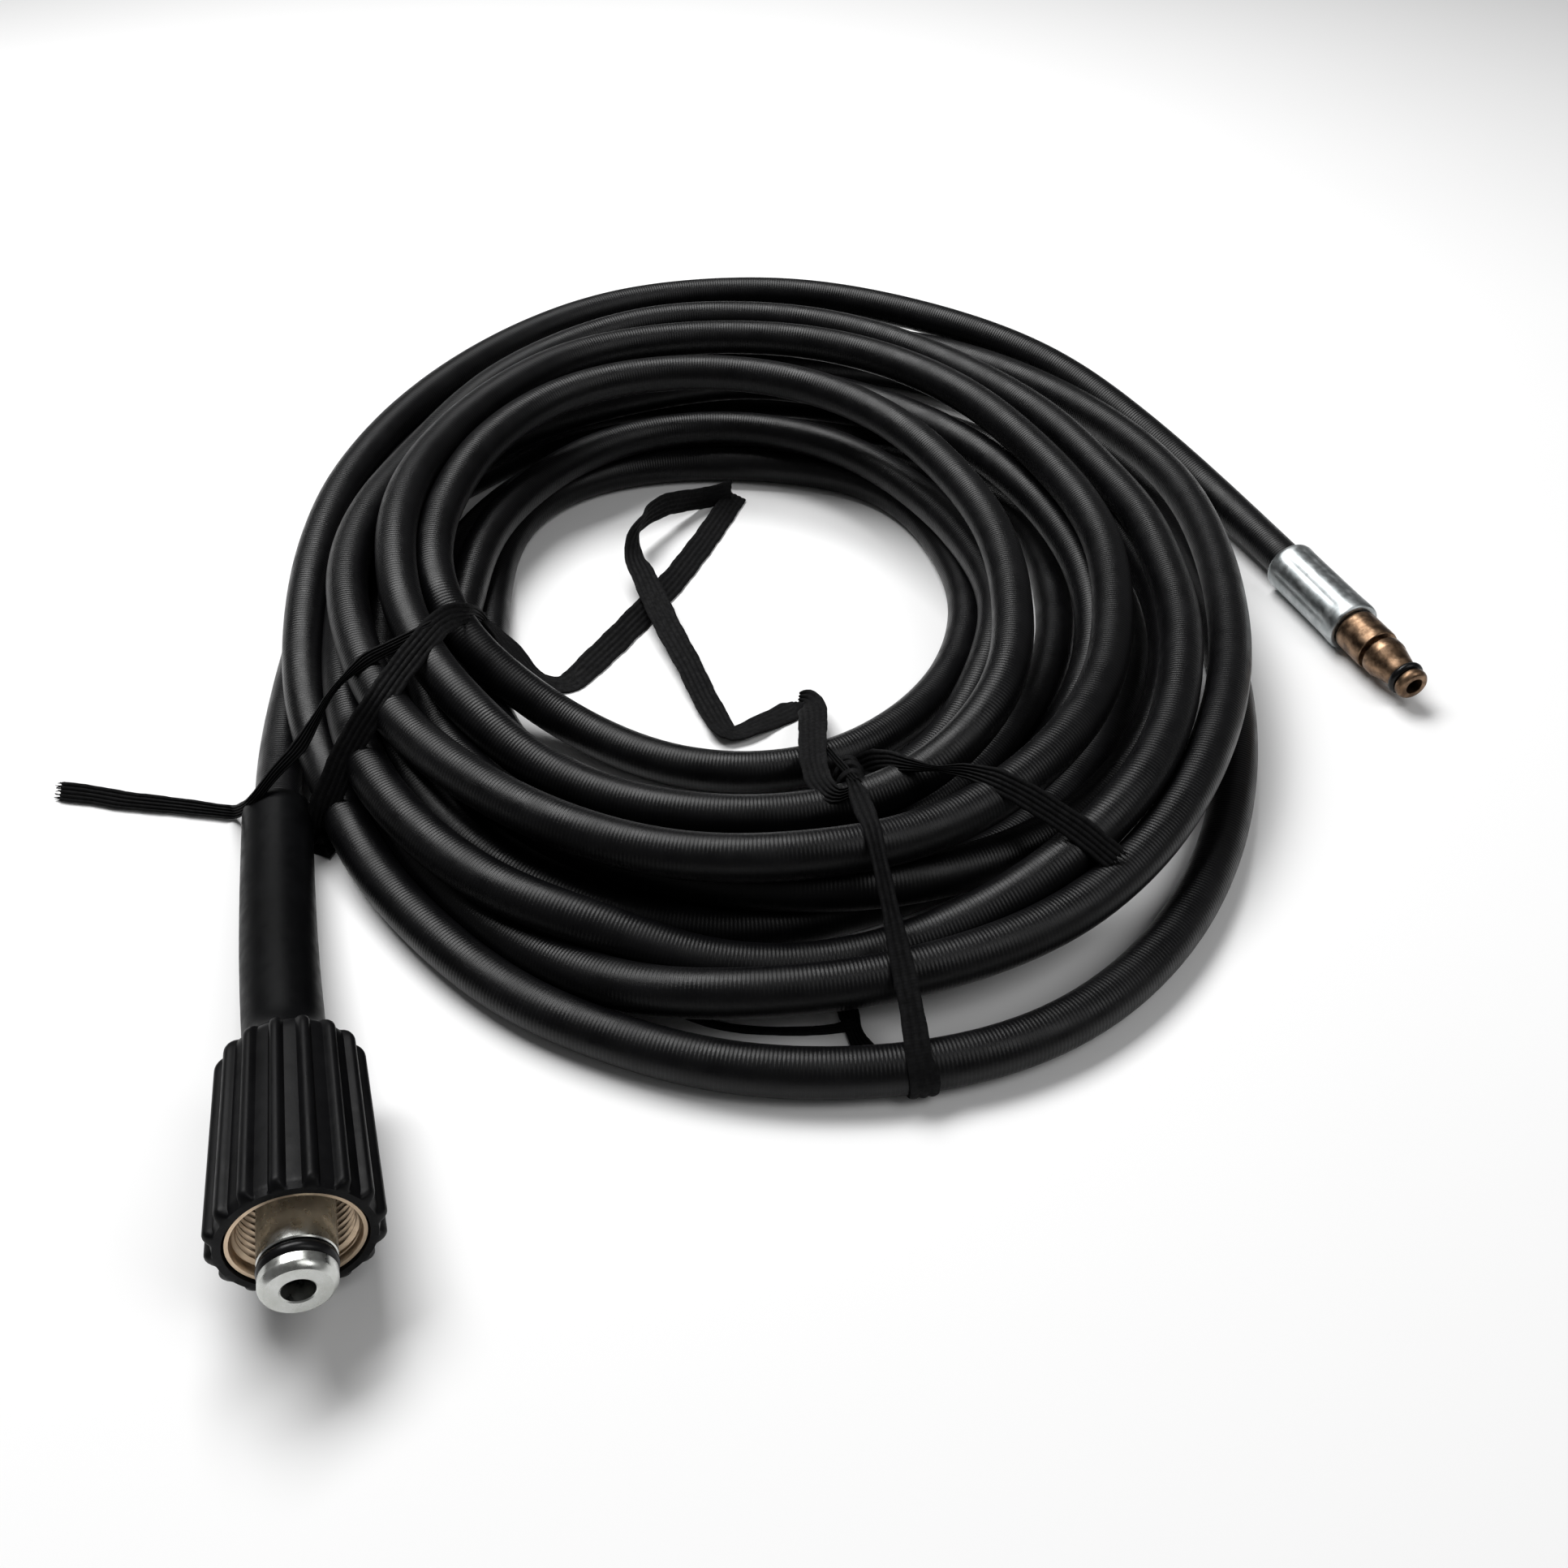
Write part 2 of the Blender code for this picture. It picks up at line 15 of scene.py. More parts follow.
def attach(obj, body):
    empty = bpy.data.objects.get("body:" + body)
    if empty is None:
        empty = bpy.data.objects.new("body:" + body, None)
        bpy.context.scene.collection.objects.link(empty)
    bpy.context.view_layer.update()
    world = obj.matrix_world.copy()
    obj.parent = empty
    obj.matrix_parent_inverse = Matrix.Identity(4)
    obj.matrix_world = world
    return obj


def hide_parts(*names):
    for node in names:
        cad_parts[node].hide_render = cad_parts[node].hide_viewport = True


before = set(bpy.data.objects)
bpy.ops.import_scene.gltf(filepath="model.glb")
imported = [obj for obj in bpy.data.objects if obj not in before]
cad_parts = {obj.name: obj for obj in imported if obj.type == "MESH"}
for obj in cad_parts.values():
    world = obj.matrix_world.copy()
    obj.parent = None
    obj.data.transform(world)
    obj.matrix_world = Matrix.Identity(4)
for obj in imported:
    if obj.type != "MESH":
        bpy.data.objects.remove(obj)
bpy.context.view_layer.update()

MM = 0.001
scene = bpy.context.scene
scene.view_settings.view_transform = "Standard"

# ------------------------------------------------------------------- camera
EYE = np.array([5.0, -321.5, 245.97])
PITCH = math.radians(42.0)
FOCAL_PX = 1700.0
SIZE_PX = 1932.0

cam_data = bpy.data.cameras.new("camera")
cam_data.sensor_width = 36.0
cam_data.lens = FOCAL_PX / SIZE_PX * 36.0
cam_data.clip_start = 0.005
camera = bpy.data.objects.new("camera", cam_data)
scene.collection.objects.link(camera)
camera.location = Vector(EYE) * MM
camera.rotation_euler = (math.pi / 2 - PITCH, 0.0, 0.0)
scene.camera = camera

RIGHT = np.array([1.0, 0.0, 0.0])
UP = np.array([0.0, math.sin(PITCH), math.cos(PITCH)])
AHEAD = np.array([0.0, math.cos(PITCH), -math.sin(PITCH)])


def sight(u, v):
    """Direction of the line of sight through a place in the picture."""
    c = SIZE_PX / 2
    d = (u - c) / FOCAL_PX * RIGHT - (v - c) / FOCAL_PX * UP + AHEAD
    return d


def on_height(u, v, z):
    d = sight(u, v)
    return EYE + d * (z - EYE[2]) / d[2]


# ---------------------------------------------------------------- materials
def new_material(name, colour, roughness, metallic=0.0, specular=0.5):
    mat = bpy.data.materials.new(name)
    mat.use_nodes = True
    bsdf = mat.node_tree.nodes["Principled BSDF"]
    bsdf.inputs["Base Color"].default_value = (*colour, 1.0)
    bsdf.inputs["Roughness"].default_value = roughness
    bsdf.inputs["Metallic"].default_value = metallic
    bsdf.inputs["Specular IOR Level"].default_value = specular
    return mat, mat.node_tree, bsdf


def noise(tree, scale, detail=3.0, coords="Object", stretch=(1, 1, 1), rough=0.5):
    tc = tree.nodes.new("ShaderNodeTexCoord")
    mp = tree.nodes.new("ShaderNodeMapping")
    mp.inputs["Scale"].default_value = stretch
    tx = tree.nodes.new("ShaderNodeTexNoise")
    tx.inputs["Scale"].default_value = scale
    tx.inputs["Detail"].default_value = detail
    tx.inputs["Roughness"].default_value = rough
    tree.links.new(tc.outputs[coords], mp.inputs["Vector"])
    tree.links.new(mp.outputs["Vector"], tx.inputs["Vector"])
    return tx.outputs["Fac"]


def spread(tree, value, low, high, from_low=0.3, from_high=0.7):
    mr = tree.nodes.new("ShaderNodeMapRange")
    mr.inputs["From Min"].default_value = from_low
    mr.inputs["From Max"].default_value = from_high
    mr.inputs["To Min"].default_value = low
    mr.inputs["To Max"].default_value = high
    tree.links.new(value, mr.inputs["Value"])
    return mr.outputs["Result"]


def two_colours(tree, value, a, b, low=0.35, high=0.65):
    ramp = tree.nodes.new("ShaderNodeValToRGB")
    ramp.color_ramp.elements[0].position = low
    ramp.color_ramp.elements[0].color = (*a, 1)
    ramp.color_ramp.elements[1].position = high
    ramp.color_ramp.elements[1].color = (*b, 1)
    tree.links.new(value, ramp.inputs["Fac"])
    return ramp.outputs["Color"]


def bump(tree, bsdf, value, strength, distance, before=None):
    bp = tree.nodes.new("ShaderNodeBump")
    bp.inputs["Strength"].default_value = strength
    bp.inputs["Distance"].default_value = distance
    tree.links.new(value, bp.inputs["Height"])
    if before is not None:
        tree.links.new(before, bp.inputs["Normal"])
    tree.links.new(bp.outputs["Normal"], bsdf.inputs["Normal"])
    return bp.outputs["Normal"]


def waves(tree, scale, direction="X", distortion=0.0, coords="UV"):
    tc = tree.nodes.new("ShaderNodeTexCoord")
    wv = tree.nodes.new("ShaderNodeTexWave")
    wv.wave_type = "BANDS"
    wv.bands_direction = direction
    wv.inputs["Scale"].default_value = scale
    wv.inputs["Distortion"].default_value = distortion
    wv.inputs["Detail"].default_value = 1.0
    tree.links.new(tc.outputs[coords], wv.inputs["Vector"])
    return wv.outputs["Fac"]


def mat_hose():
    """Black rubber cover with fine cross ribbing; U runs along the hose in metres."""
    mat, t, b = new_material("hose_cover", (0.002, 0.002, 0.0022), 0.36, 0.0, 0.2)
    n = noise(t, 60.0, 4.0)
    t.links.new(two_colours(t, n, (0.0014, 0.0014, 0.0017), (0.003, 0.003, 0.0035)), b.inputs["Base Color"])
    t.links.new(spread(t, noise(t, 140.0, 3.0), 0.29, 0.43), b.inputs["Roughness"])
    first = bump(t, b, waves(t, 340.0, "X", 1.2), 0.5, 0.00008)
    grain = noise(t, 2600.0, 2.0)
    bump(t, b, grain, 0.18, 0.00005, first)
    return mat


def mat_plastic(name, colour, roughness, specular=0.2):
    mat, t, b = new_material(name, colour, roughness, 0.0, specular)
    dark = tuple(c * 0.75 for c in colour)
    light = tuple(c * 1.35 for c in colour)
    t.links.new(two_colours(t, noise(t, 90.0, 5.0), dark, light), b.inputs["Base Color"])
    t.links.new(spread(t, noise(t, 300.0, 3.0), roughness - 0.07, roughness + 0.08), b.inputs["Roughness"])
    bump(t, b, noise(t, 1800.0, 3.0), 0.25, 0.00006)
    return mat


def mat_metal(name, a, b_, roughness, streak, scale=220.0):
    mat, t, b = new_material(name, a, roughness, 1.0)
    n = noise(t, scale, 5.0, rough=0.6)
    t.links.new(two_colours(t, n, a, b_, 0.4, 0.62), b.inputs["Base Color"])
    t.links.new(spread(t, noise(t, 500.0, 4.0), roughness - 0.06, roughness + 0.12), b.inputs["Roughness"])
    bump(t, b, noise(t, 900.0, 3.0, stretch=streak), 0.25, 0.00004)
    return mat


def mat_tape():
    """Black elastic: lengthwise ridges are modelled, the weave is in the bump."""
    mat, t, b = new_material("elastic_weave", (0.0022, 0.0022, 0.0025), 0.66, 0.0, 0.12)
    t.links.new(two_colours(t, noise(t, 700.0, 3.0), (0.0009, 0.0009, 0.0011), (0.0036, 0.0036, 0.0040)), b.inputs["Base Color"])
    t.links.new(spread(t, noise(t, 900.0, 2.0), 0.62, 0.85), b.inputs["Roughness"])
    first = bump(t, b, waves(t, 420.0, "X", 2.5), 0.25, 0.00010)
    bump(t, b, noise(t, 3000.0, 2.0), 0.4, 0.0001, first)
    return mat


HOSE = mat_hose()
SLEEVE = mat_plastic("sleeve_plastic", (0.0020, 0.0021, 0.0024), 0.42, 0.06)
GRIP = mat_plastic("grip_plastic", (0.0026, 0.0026, 0.003), 0.42, 0.10)
BRASS = mat_metal("brass_turned", (0.66, 0.52, 0.38), (0.58, 0.45, 0.32), 0.33, (1, 1, 1))
ZINC = mat_metal("zinc_plate", (0.52, 0.53, 0.50), (0.60, 0.61, 0.59), 0.27, (1, 1, 1))
FERRULE = mat_metal("ferrule_plate", (0.33, 0.355, 0.36), (0.44, 0.46, 0.465), 0.38, (1, 1, 1))
BRONZE = mat_metal("nipple_brass", (0.10, 0.062, 0.038), (0.26, 0.168, 0.105), 0.36, (1, 1, 1), 330.0)
RUBBER = mat_plastic("seal_rubber", (0.004, 0.004, 0.0045), 0.3)
TAPE = mat_tape()


# ------------------------------------------------------------------- helpers
def add_mesh(name, verts, faces, mat, matrix=None, uvs=None, smooth=True, sharp=None):
    me = bpy.data.meshes.new(name)
    me.from_pydata([tuple(float(c) * MM for c in v) for v in verts], [], faces)
    if uvs is not None:
        layer = me.uv_layers.new(name="UVMap")
        for poly in me.polygons:
            for li, c in zip(poly.loop_indices, uvs[poly.index]):
                layer.data[li].uv = c
    me.materials.append(mat)
    bm = bmesh.new()
    bm.from_mesh(me)
    bmesh.ops.recalc_face_normals(bm, faces=bm.faces[:])
    bm.to_mesh(me)
    bm.free()
    if smooth:
        me.shade_smooth()
    if sharp is not None:
        me.set_sharp_from_angle(angle=math.radians(sharp))
    if matrix is not None:
        m = matrix.copy()
        m.translation = m.translation * MM
        me.transform(m)
    ob = bpy.data.objects.new(name, me)
    scene.collection.objects.link(ob)
    return ob


def grid_faces(rows, cols, close_rows=False, close_cols=True):
    faces = []
    for i in range(rows if close_rows else rows - 1):
        i2 = (i + 1) % rows
        for k in range(cols if close_cols else cols - 1):
            k2 = (k + 1) % cols
            faces.append((i * cols + k, i * cols + k2, i2 * cols + k2, i2 * cols + k))
    return faces


def catmull(points, n=12):
    """Smooth curve through rows of numbers; columns after the third ride along."""
    P = np.asarray(points, float)
    E = np.vstack([2 * P[0] - P[1], P, 2 * P[-1] - P[-2]])
    out = []
    for i in range(1, len(E) - 2):
        p0, p1, p2, p3 = E[i - 1:i + 3]
        gap = [max(1e-6, np.linalg.norm((b - a)[:3])) ** 0.5 for a, b in ((p0, p1), (p1, p2), (p2, p3))]
        t1 = gap[0]
        t2 = t1 + gap[1]
        t3 = t2 + gap[2]
        t = np.linspace(t1, t2, n, endpoint=False)[:, None]
        a1 = (t1 - t) / t1 * p0 + t / t1 * p1
        a2 = (t2 - t) / (t2 - t1) * p1 + (t - t1) / (t2 - t1) * p2
        a3 = (t3 - t) / (t3 - t2) * p2 + (t - t2) / (t3 - t2) * p3
        b1 = (t2 - t) / t2 * a1 + t / t2 * a2
        b2 = (t3 - t) / (t3 - t1) * a2 + (t - t1) / (t3 - t1) * a3
        out.append((t2 - t) / (t2 - t1) * b1 + (t - t1) / (t2 - t1) * b2)
    out.append(P[-1:])
    return np.vstack(out)


def resample(Q, step):
    run = np.r_[0, np.cumsum(np.linalg.norm(np.diff(Q[:, :3], axis=0), axis=1))]
    n = max(2, int(round(run[-1] / step)))
    t = np.linspace(0, run[-1], n + 1)
    return np.stack([np.interp(t, run, Q[:, k]) for k in range(Q.shape[1])], 1)


def eased(Q, k, times):
    Q = Q.copy()
    for _ in range(times):
        Q[1:-1] += k * (0.5 * (Q[:-2] + Q[2:]) - Q[1:-1])
    return Q


def axis_matrix(origin, azimuth, tilt=0.0):
    z = Vector((math.cos(tilt) * math.cos(azimuth), math.cos(tilt) * math.sin(azimuth), math.sin(tilt)))
    x = Vector((0, 0, 1)).cross(z).normalized()
    y = z.cross(x)
    m = Matrix((x, y, z)).transposed().to_4x4()
    m.translation = origin
    return m


def turned(name, profile, segments, mat, matrix, closed=True, sharp=30):
    """Profile of (radius, height) turned round Z; closed joins its two ends."""
    rows, cols = len(profile), segments
    verts = []
    for r, z in profile:
        for k in range(cols):
            a = 2 * math.pi * k / cols
            verts.append((r * math.cos(a), r * math.sin(a), z))
    return add_mesh(name, verts, grid_faces(rows, cols, closed), mat, matrix, sharp=sharp)


# --------------------------------------------------------- the two fittings
NUT_FRONT = Vector((-82.4, -192.4, 19.3))
NUT_AZIMUTH = math.radians(-72.6)
NUT_TILT = math.radians(5.5)
NUT_LENGTH = 45.0
NUT = axis_matrix(NUT_FRONT, NUT_AZIMUTH, NUT_TILT)
SLEEVE_START = 24.3
SLEEVE_LENGTH = 108.0

FERRULE_START = Vector((162.98, 45.8, 7.9))
FERRULE_AZIMUTH = math.radians(-73.5)
TAIL = axis_matrix(FERRULE_START, FERRULE_AZIMUTH)


def sleeve_line(n=54):
    """Centre line of the bend sleeve, from the stem's tail to its open end."""
    step = SLEEVE_LENGTH / n
    pts = [np.array(NUT @ Vector((0, 0, -SLEEVE_START)))]
    for i in range(n):
        bent = max(0.0, (step * (i + 0.5) - 62.0) / (SLEEVE_LENGTH - 62.0))
        tilt = NUT_TILT - math.radians(5.3) * bent
        pts.append(pts[-1] - step * np.array([math.cos(tilt) * math.cos(NUT_AZIMUTH),
                                              math.cos(tilt) * math.sin(NUT_AZIMUTH), math.sin(tilt)]))
    left = np.array([math.sin(NUT_AZIMUTH), -math.cos(NUT_AZIMUTH), 0])
    return np.array([p + left * 1.9 * math.sin(0.85 * math.pi * i / n) for i, p in enumerate(pts)])


SLEEVE_LINE = sleeve_line()

# --------------------------------------------------------------------- hose
HOSE_D = 11.2
AXIS = np.array([-15.5, 30.7])

# Route of the hose: azimuth about the bore's axis in degrees, running on turn
# after turn from the ferrule, with the distance from the axis and the height.
ROUTE = [
    # first turn, outermost: back, left, front, right
    (18, 173, 10), (30, 167, 18), (45, 166, 26), (60, 165, 30), (80, 168, 32), (95, 166, 32), (107, 160, 32),
    (120, 149, 31), (135, 136, 30), (150, 126, 29), (165, 120, 28), (180, 117, 26), (195, 118, 22.5),
    (205, 122, 19), (215, 127, 14), (225, 132, 9), (235, 140, 6), (247, 150, 5.6), (260, 163, 5.6),
    (272, 175, 5.6), (285, 182, 5.6), (295, 184, 5.6), (305, 180, 5.6), (317, 171, 5.6), (330, 161, 5.6),
    (340, 155, 5.6), (350, 151, 5.6),
    # second: low at the back, then the front and the outer right side
    (360, 149, 5.6), (371, 151, 5.6), (379, 155.5, 5.6), (387, 160, 5.6), (397, 164, 5.6), (410, 166, 5.6),
    (425, 167, 5.6), (440, 166, 5.6), (455, 163, 5.6),
    (470, 154, 5.6), (485, 143, 8), (500, 131, 12), (515, 121, 16), (530, 115, 17), (545, 113, 14),
    (560, 112, 7), (574, 115, 5.6), (582, 120, 5.6), (590, 125, 5.6), (600, 133, 6), (611, 145, 8),
    (620, 154, 12), (633, 162, 15), (646, 164, 15), (660, 164, 17), (672, 162, 21), (685, 156, 25),
    (700, 150, 25),
    # third: behind at the back and the left, then the front
    (720, 147, 25), (736, 149, 25), (756, 150, 25), (777, 154, 24), (795, 157, 21), (815, 154, 20),
    (835, 143, 20), (850, 131, 21), (865, 120, 23), (880, 110, 25), (895, 106, 24), (910, 105, 22),
    (925, 108, 20), (935, 113, 18), (945, 120, 15), (955, 127, 13), (965, 134, 10), (975, 141, 8),
    (990, 150, 7), (1004, 153, 8), (1016, 155, 14), (1024, 155, 20), (1031, 153, 25), (1037, 150, 27),
    (1045, 145, 28), (1054, 139, 30), (1064, 134, 30), (1072, 129, 31),
    # fourth
    (1081, 127, 32), (1091, 123, 32), (1108, 122, 34), (1127, 124, 35), (1143, 127, 37), (1157, 130, 38),
    (1169, 131, 38), (1182, 130, 38), (1196, 125, 36), (1213, 116, 34), (1225, 109, 32), (1239, 104, 31),
    (1252, 104, 31), (1262, 105, 30), (1273, 106, 30), (1283, 107, 29), (1293, 109, 28), (1301, 112, 26),
    (1309, 114, 25), (1317, 116, 24), (1330, 121, 23), (1340, 125, 22), (1350, 129, 22), (1362, 132, 22),
    (1370, 133, 22), (1379, 133, 24),
    # fifth
    (1387, 132, 27), (1394, 130, 29), (1402, 127, 30), (1411, 122, 31), (1423, 116, 32), (1435, 113, 33),
    (1447, 108, 35), (1461, 105, 36), (1479, 106, 38), (1498, 109, 39), (1514, 110, 40), (1530, 110, 40),
    (1544, 109, 40), (1560, 107, 40), (1571, 101, 40), (1582, 98, 39), (1595, 94, 38), (1609, 91, 37),
    (1623, 90, 36), (1635, 91, 34), (1644, 93, 31), (1653, 94, 27), (1662, 95, 21), (1675, 97, 16),
    (1683, 98, 14), (1690, 100, 13), (1703, 104, 13), (1714, 108, 14), (1724, 110, 14), (1733, 111, 16),
    # sixth, innermost at the front
    (1740, 113, 20), (1748, 111, 26), (1755, 108, 29), (1763, 101, 31), (1774, 92, 32), (1785, 86, 33),
    (1801, 80, 34), (1818, 75, 36), (1840, 75, 38), (1858, 76, 40), (1876, 78, 41), (1888, 80, 41),
    (1903, 82, 41), (1919, 83, 41), (1931, 84, 40), (1946, 82, 39), (1962, 81, 38), (1977, 82, 36),
    (1991, 83, 35), (2001, 84, 32), (2008, 84, 28), (2015, 82, 22), (2021, 78, 16), (2031, 75, 10),
    (2039, 73, 7), (2059, 78, 5.6), (2075, 82, 5.6), (2089, 84, 5.6), (2100, 83, 5.6), (2110, 81, 5.6),
    (2121, 80, 5.6), (2134, 78, 5.6), (2146, 77, 5.6),
    # seventh, on the floor inside
    (2162, 77, 5.6), (2176, 77, 5.6), (2194, 81, 5.6), (2213, 86, 5.6), (2229, 84, 5.6), (2249, 83, 5.6),
    (2268, 85, 5.6), (2284, 87, 5.6), (2295, 86, 5.6), (2306, 81, 5.6), (2320, 75, 5.6), (2334, 70, 5.6),
    (2350, 70, 5.6), (2362, 73, 5.6), (2374, 81, 5.6), (2385, 88, 5.6), (2400, 94, 5.6), (2415, 98, 5.6),
    (2430, 100, 5.6), (2445, 101, 5.6), (2460, 99, 5.6), (2475, 94, 8), (2490, 89, 13),
    # eighth
    (2507, 86, 16), (2523, 80, 17), (2551, 77, 17), (2579, 83, 17), (2598, 87, 17), (2609, 88, 17),
    (2624, 88, 17), (2640, 85, 17), (2655, 80, 17), (2671, 76, 17), (2687, 74, 17), (2700, 73, 16),
    (2711, 74, 14), (2722, 78, 10), (2733, 88, 6), (2745, 98, 5.6), (2760, 106, 5.6), (2775, 110, 5.6),
    (2790, 112, 5.6), (2805, 113, 5.6), (2820, 112, 5.6), (2835, 108, 6), (2850, 105, 7),
    # ninth, on the floor in the middle of the heap
    (2865, 103.2, 7), (2880, 103, 6), (2890, 104.5, 5.6), (2903, 108.5, 5.6), (2920, 107, 5.6), (2940, 101, 5.6), (2960, 98, 5.6),
    (2980, 97, 5.6), (3000, 96, 5.6), (3020, 92, 5.6), (3040, 88, 5.6), (3060, 88, 5.6), (3075, 92, 5.6),
    (3090, 100, 5.6), (3105, 108, 5.6), (3120, 117, 5.6), (3135, 122, 5.6), (3150, 124, 5.6), (3165, 125, 5.6),
    (3180, 124, 5.6), (3195, 121, 6), (3210, 117, 10),
    # tenth
    (3222, 115, 15), (3232, 111, 20), (3243, 107, 22), (3258, 102, 25), (3275, 99, 27), (3291, 98, 28),
    (3309, 100, 28), (3325, 101, 28), (3345, 97, 27), (3365, 95, 27), (3380, 95, 27), (3395, 93, 26),
    (3410, 90, 25), (3425, 88, 24), (3440, 88, 23), (3452, 91, 21), (3462, 96, 18), (3472, 103, 14),
    (3481, 110, 12), (3489, 115, 11), (3497, 119, 11), (3505, 122, 11), (3516, 129, 11), (3525, 133, 11),
    (3533, 136, 11), (3541, 138, 11), (3549, 140, 11), (3558, 140, 12), (3564, 140, 14), (3569, 139, 16),
    (3575, 137, 18), (3583, 134, 19), (3591, 131, 20), (3600, 127, 20), (3609, 124, 21),
    # eleventh, in the middle of the heap
    (3620, 120, 19), (3640, 117, 17), (3660, 114, 16), (3680, 112, 16), (3700, 112, 16), (3720, 112, 16),
    (3740, 108, 16), (3760, 105, 16), (3780, 100, 16), (3800, 100, 14), (3815, 104, 10), (3830, 112, 7),
    (3845, 122, 5.6), (3860, 130, 5.6), (3875, 135, 5.6), (3890, 132, 5.6), (3905, 128, 5.6), (3920, 125, 5.6),
    (3940, 125, 5.6),
    # twelfth, on the floor, then out under the first turn to the sleeve
    (3960, 123, 5.6), (3980, 121, 5.6), (4000, 121, 5.6), (4020, 121, 5.6), (4035, 126, 5.6), (4050, 128, 5.6),
    (4065, 126, 5.6), (4080, 119, 5.6), (4090, 115.5, 5.6), (4100, 113.5, 5.6), (4110, 114.5, 5.6), (4121, 117, 5.6),
    (4133, 119.5, 5.6), (4145.8, 121.2, 5.6), (4153.4, 122.9, 5.6), (4160.4, 125.7, 5.6), (4165.9, 129.3, 5.6),
    (4172.9, 135.6, 5.6),
]
# stretches whose place in the picture is kept: the hose shows there
SEEN = [(0, 385), (560, 760), (960, 2360), (2490, 2720), (3210, 3320), (3480, 3620), (4128, 4176)]


def around(azimuth, r, z):
    a = math.radians(azimuth)
    return np.array([AXIS[0] + r * math.cos(a), AXIS[1] + r * math.sin(a), z])


def settle(start, radius, fixed, seen, times=300):
    """Let the hose down on itself and the floor: its points sink, keep off
    each other by their radii, and stay near the lines of sight they began on."""
    X, N = start.copy(), len(start)
    move = np.ones(N)
    move[fixed] = 0
    w = move[:, None]
    reach = 2 * radius.max() + 4
    for it in range(times):
        if it % 8 == 0:
            Xf = X.astype(np.float32)
            sq = (Xf ** 2).sum(1)
            near = sq[:, None] + sq[None] - 2 * Xf @ Xf.T
            i, j = np.where(near < reach ** 2)
            m = (j - i) > 6
            i, j = i[m], j[m]
            need = radius[i] + radius[j]
        aim = EYE + (start - EYE) * ((EYE[2] - X[:, 2]) / (EYE[2] - start[:, 2]))[:, None]
        k = (0.03 * seen + 0.006 * (1 - seen)) * move
        X[:, :2] += k[:, None] * (aim - X)[:, :2]
        X[:, 2] += 0.004 * move * (start - X)[:, 2]
        X[:, 2] -= move * 0.008 * (1 - it / times * 0.7)
        T = np.gradient(X, axis=0)
        T /= np.linalg.norm(T, axis=1)[:, None]
        d = X[i] - X[j]
        a, b, c = (d * T[i]).sum(1), (d * T[j]).sum(1), (T[i] * T[j]).sum(1)
        den = 1 - c * c
        level = den < 0.05
        safe = np.where(level, 1, den)
        s = np.clip(np.where(level, -a * 0.5, (-a + c * b) / safe), -2.6, 2.6)
        t = np.clip(np.where(level, b * 0.5, (b - c * a) / safe), -2.6, 2.6)
        d = d + s[:, None] * T[i] - t[:, None] * T[j]
        L = np.linalg.norm(d, axis=1)
        hit = (L < need) & (L > 1e-6)
        ii, jj, dd, LL, push = i[hit], j[hit], d[hit], L[hit], (need - L)[hit]
        n = dd / LL[:, None]
        share = move[ii] + move[jj]
        share[share == 0] = 1
        fix = np.zeros_like(X)
        count = np.zeros(N)
        np.add.at(fix, ii, n * (push * move[ii] / share)[:, None])
        np.add.at(fix, jj, -n * (push * move[jj] / share)[:, None])
        np.add.at(count, ii, 1)
        np.add.at(count, jj, 1)
        X += fix / np.maximum(count, 1)[:, None] * 1.3
        X[:, 2] = np.maximum(X[:, 2], radius)
        shift = X - start
        for _ in range(2):
            shift[1:-1] += 0.5 * (0.5 * (shift[:-2] + shift[2:]) - shift[1:-1]) * w[1:-1]
        X = start + shift
    X[:, 2] = np.maximum(X[:, 2], radius)
    return X, (float(push.max()) if len(push) else 0.0)


def hose_line():
    head = np.array(TAIL @ Vector((0, 0, 27.0)))
    mouth = np.array(TAIL @ Vector((0, 0, 0)))
    away = np.array(TAIL.to_3x3() @ Vector((0, 0, -1)))
    sleeve = SLEEVE_LINE[::-1]
    rows = [head, head * 0.5 + mouth * 0.5, mouth, mouth + away * 7]
    rows += [around(*q) for q in ROUTE]
    rows += [sleeve[2] * 0.0 + sleeve[0], sleeve[6], sleeve[12], sleeve[20], sleeve[28], sleeve[40]]
    X0 = resample(catmull(rows, 16), 5.0)
    free_end = np.array(sleeve[0])
    d_head = np.linalg.norm(X0 - mouth, axis=1)
    d_tail = np.linalg.norm(X0 - free_end, axis=1)
    first = int(np.argmin(d_head[:40])) + 2
    last = len(X0) - 60 + int(np.argmin(d_tail[-60:]))
    N = len(X0)
    smooth = eased(X0, 0.5, 12)
    X0[first:last] = smooth[first:last]
    radius = np.full(N, HOSE_D / 2)
    radius[:first - 2] = 7.8
    radius[last:] = 8.4
    fixed = np.r_[0:first, last:N]
    flat = X0[:, :2] - AXIS
    az = np.degrees(np.unwrap(np.arctan2(flat[:, 1], flat[:, 0])))
    az += 360 * round((9 - az[first]) / 360)
    seen = np.zeros(N)
    for a, b in SEEN:
        seen[(az >= a) & (az <= b)] = 1
    X, over = settle(X0, radius, fixed, seen)
    print("hose: points", N, "deepest overlap %.2f mm" % over, "top %.1f" % (X[:, 2].max() + 5.6))
    return X, last


HOSE_LINE, HOSE_LAST = hose_line()
FINE = resample(catmull(HOSE_LINE, 4), 3.6)


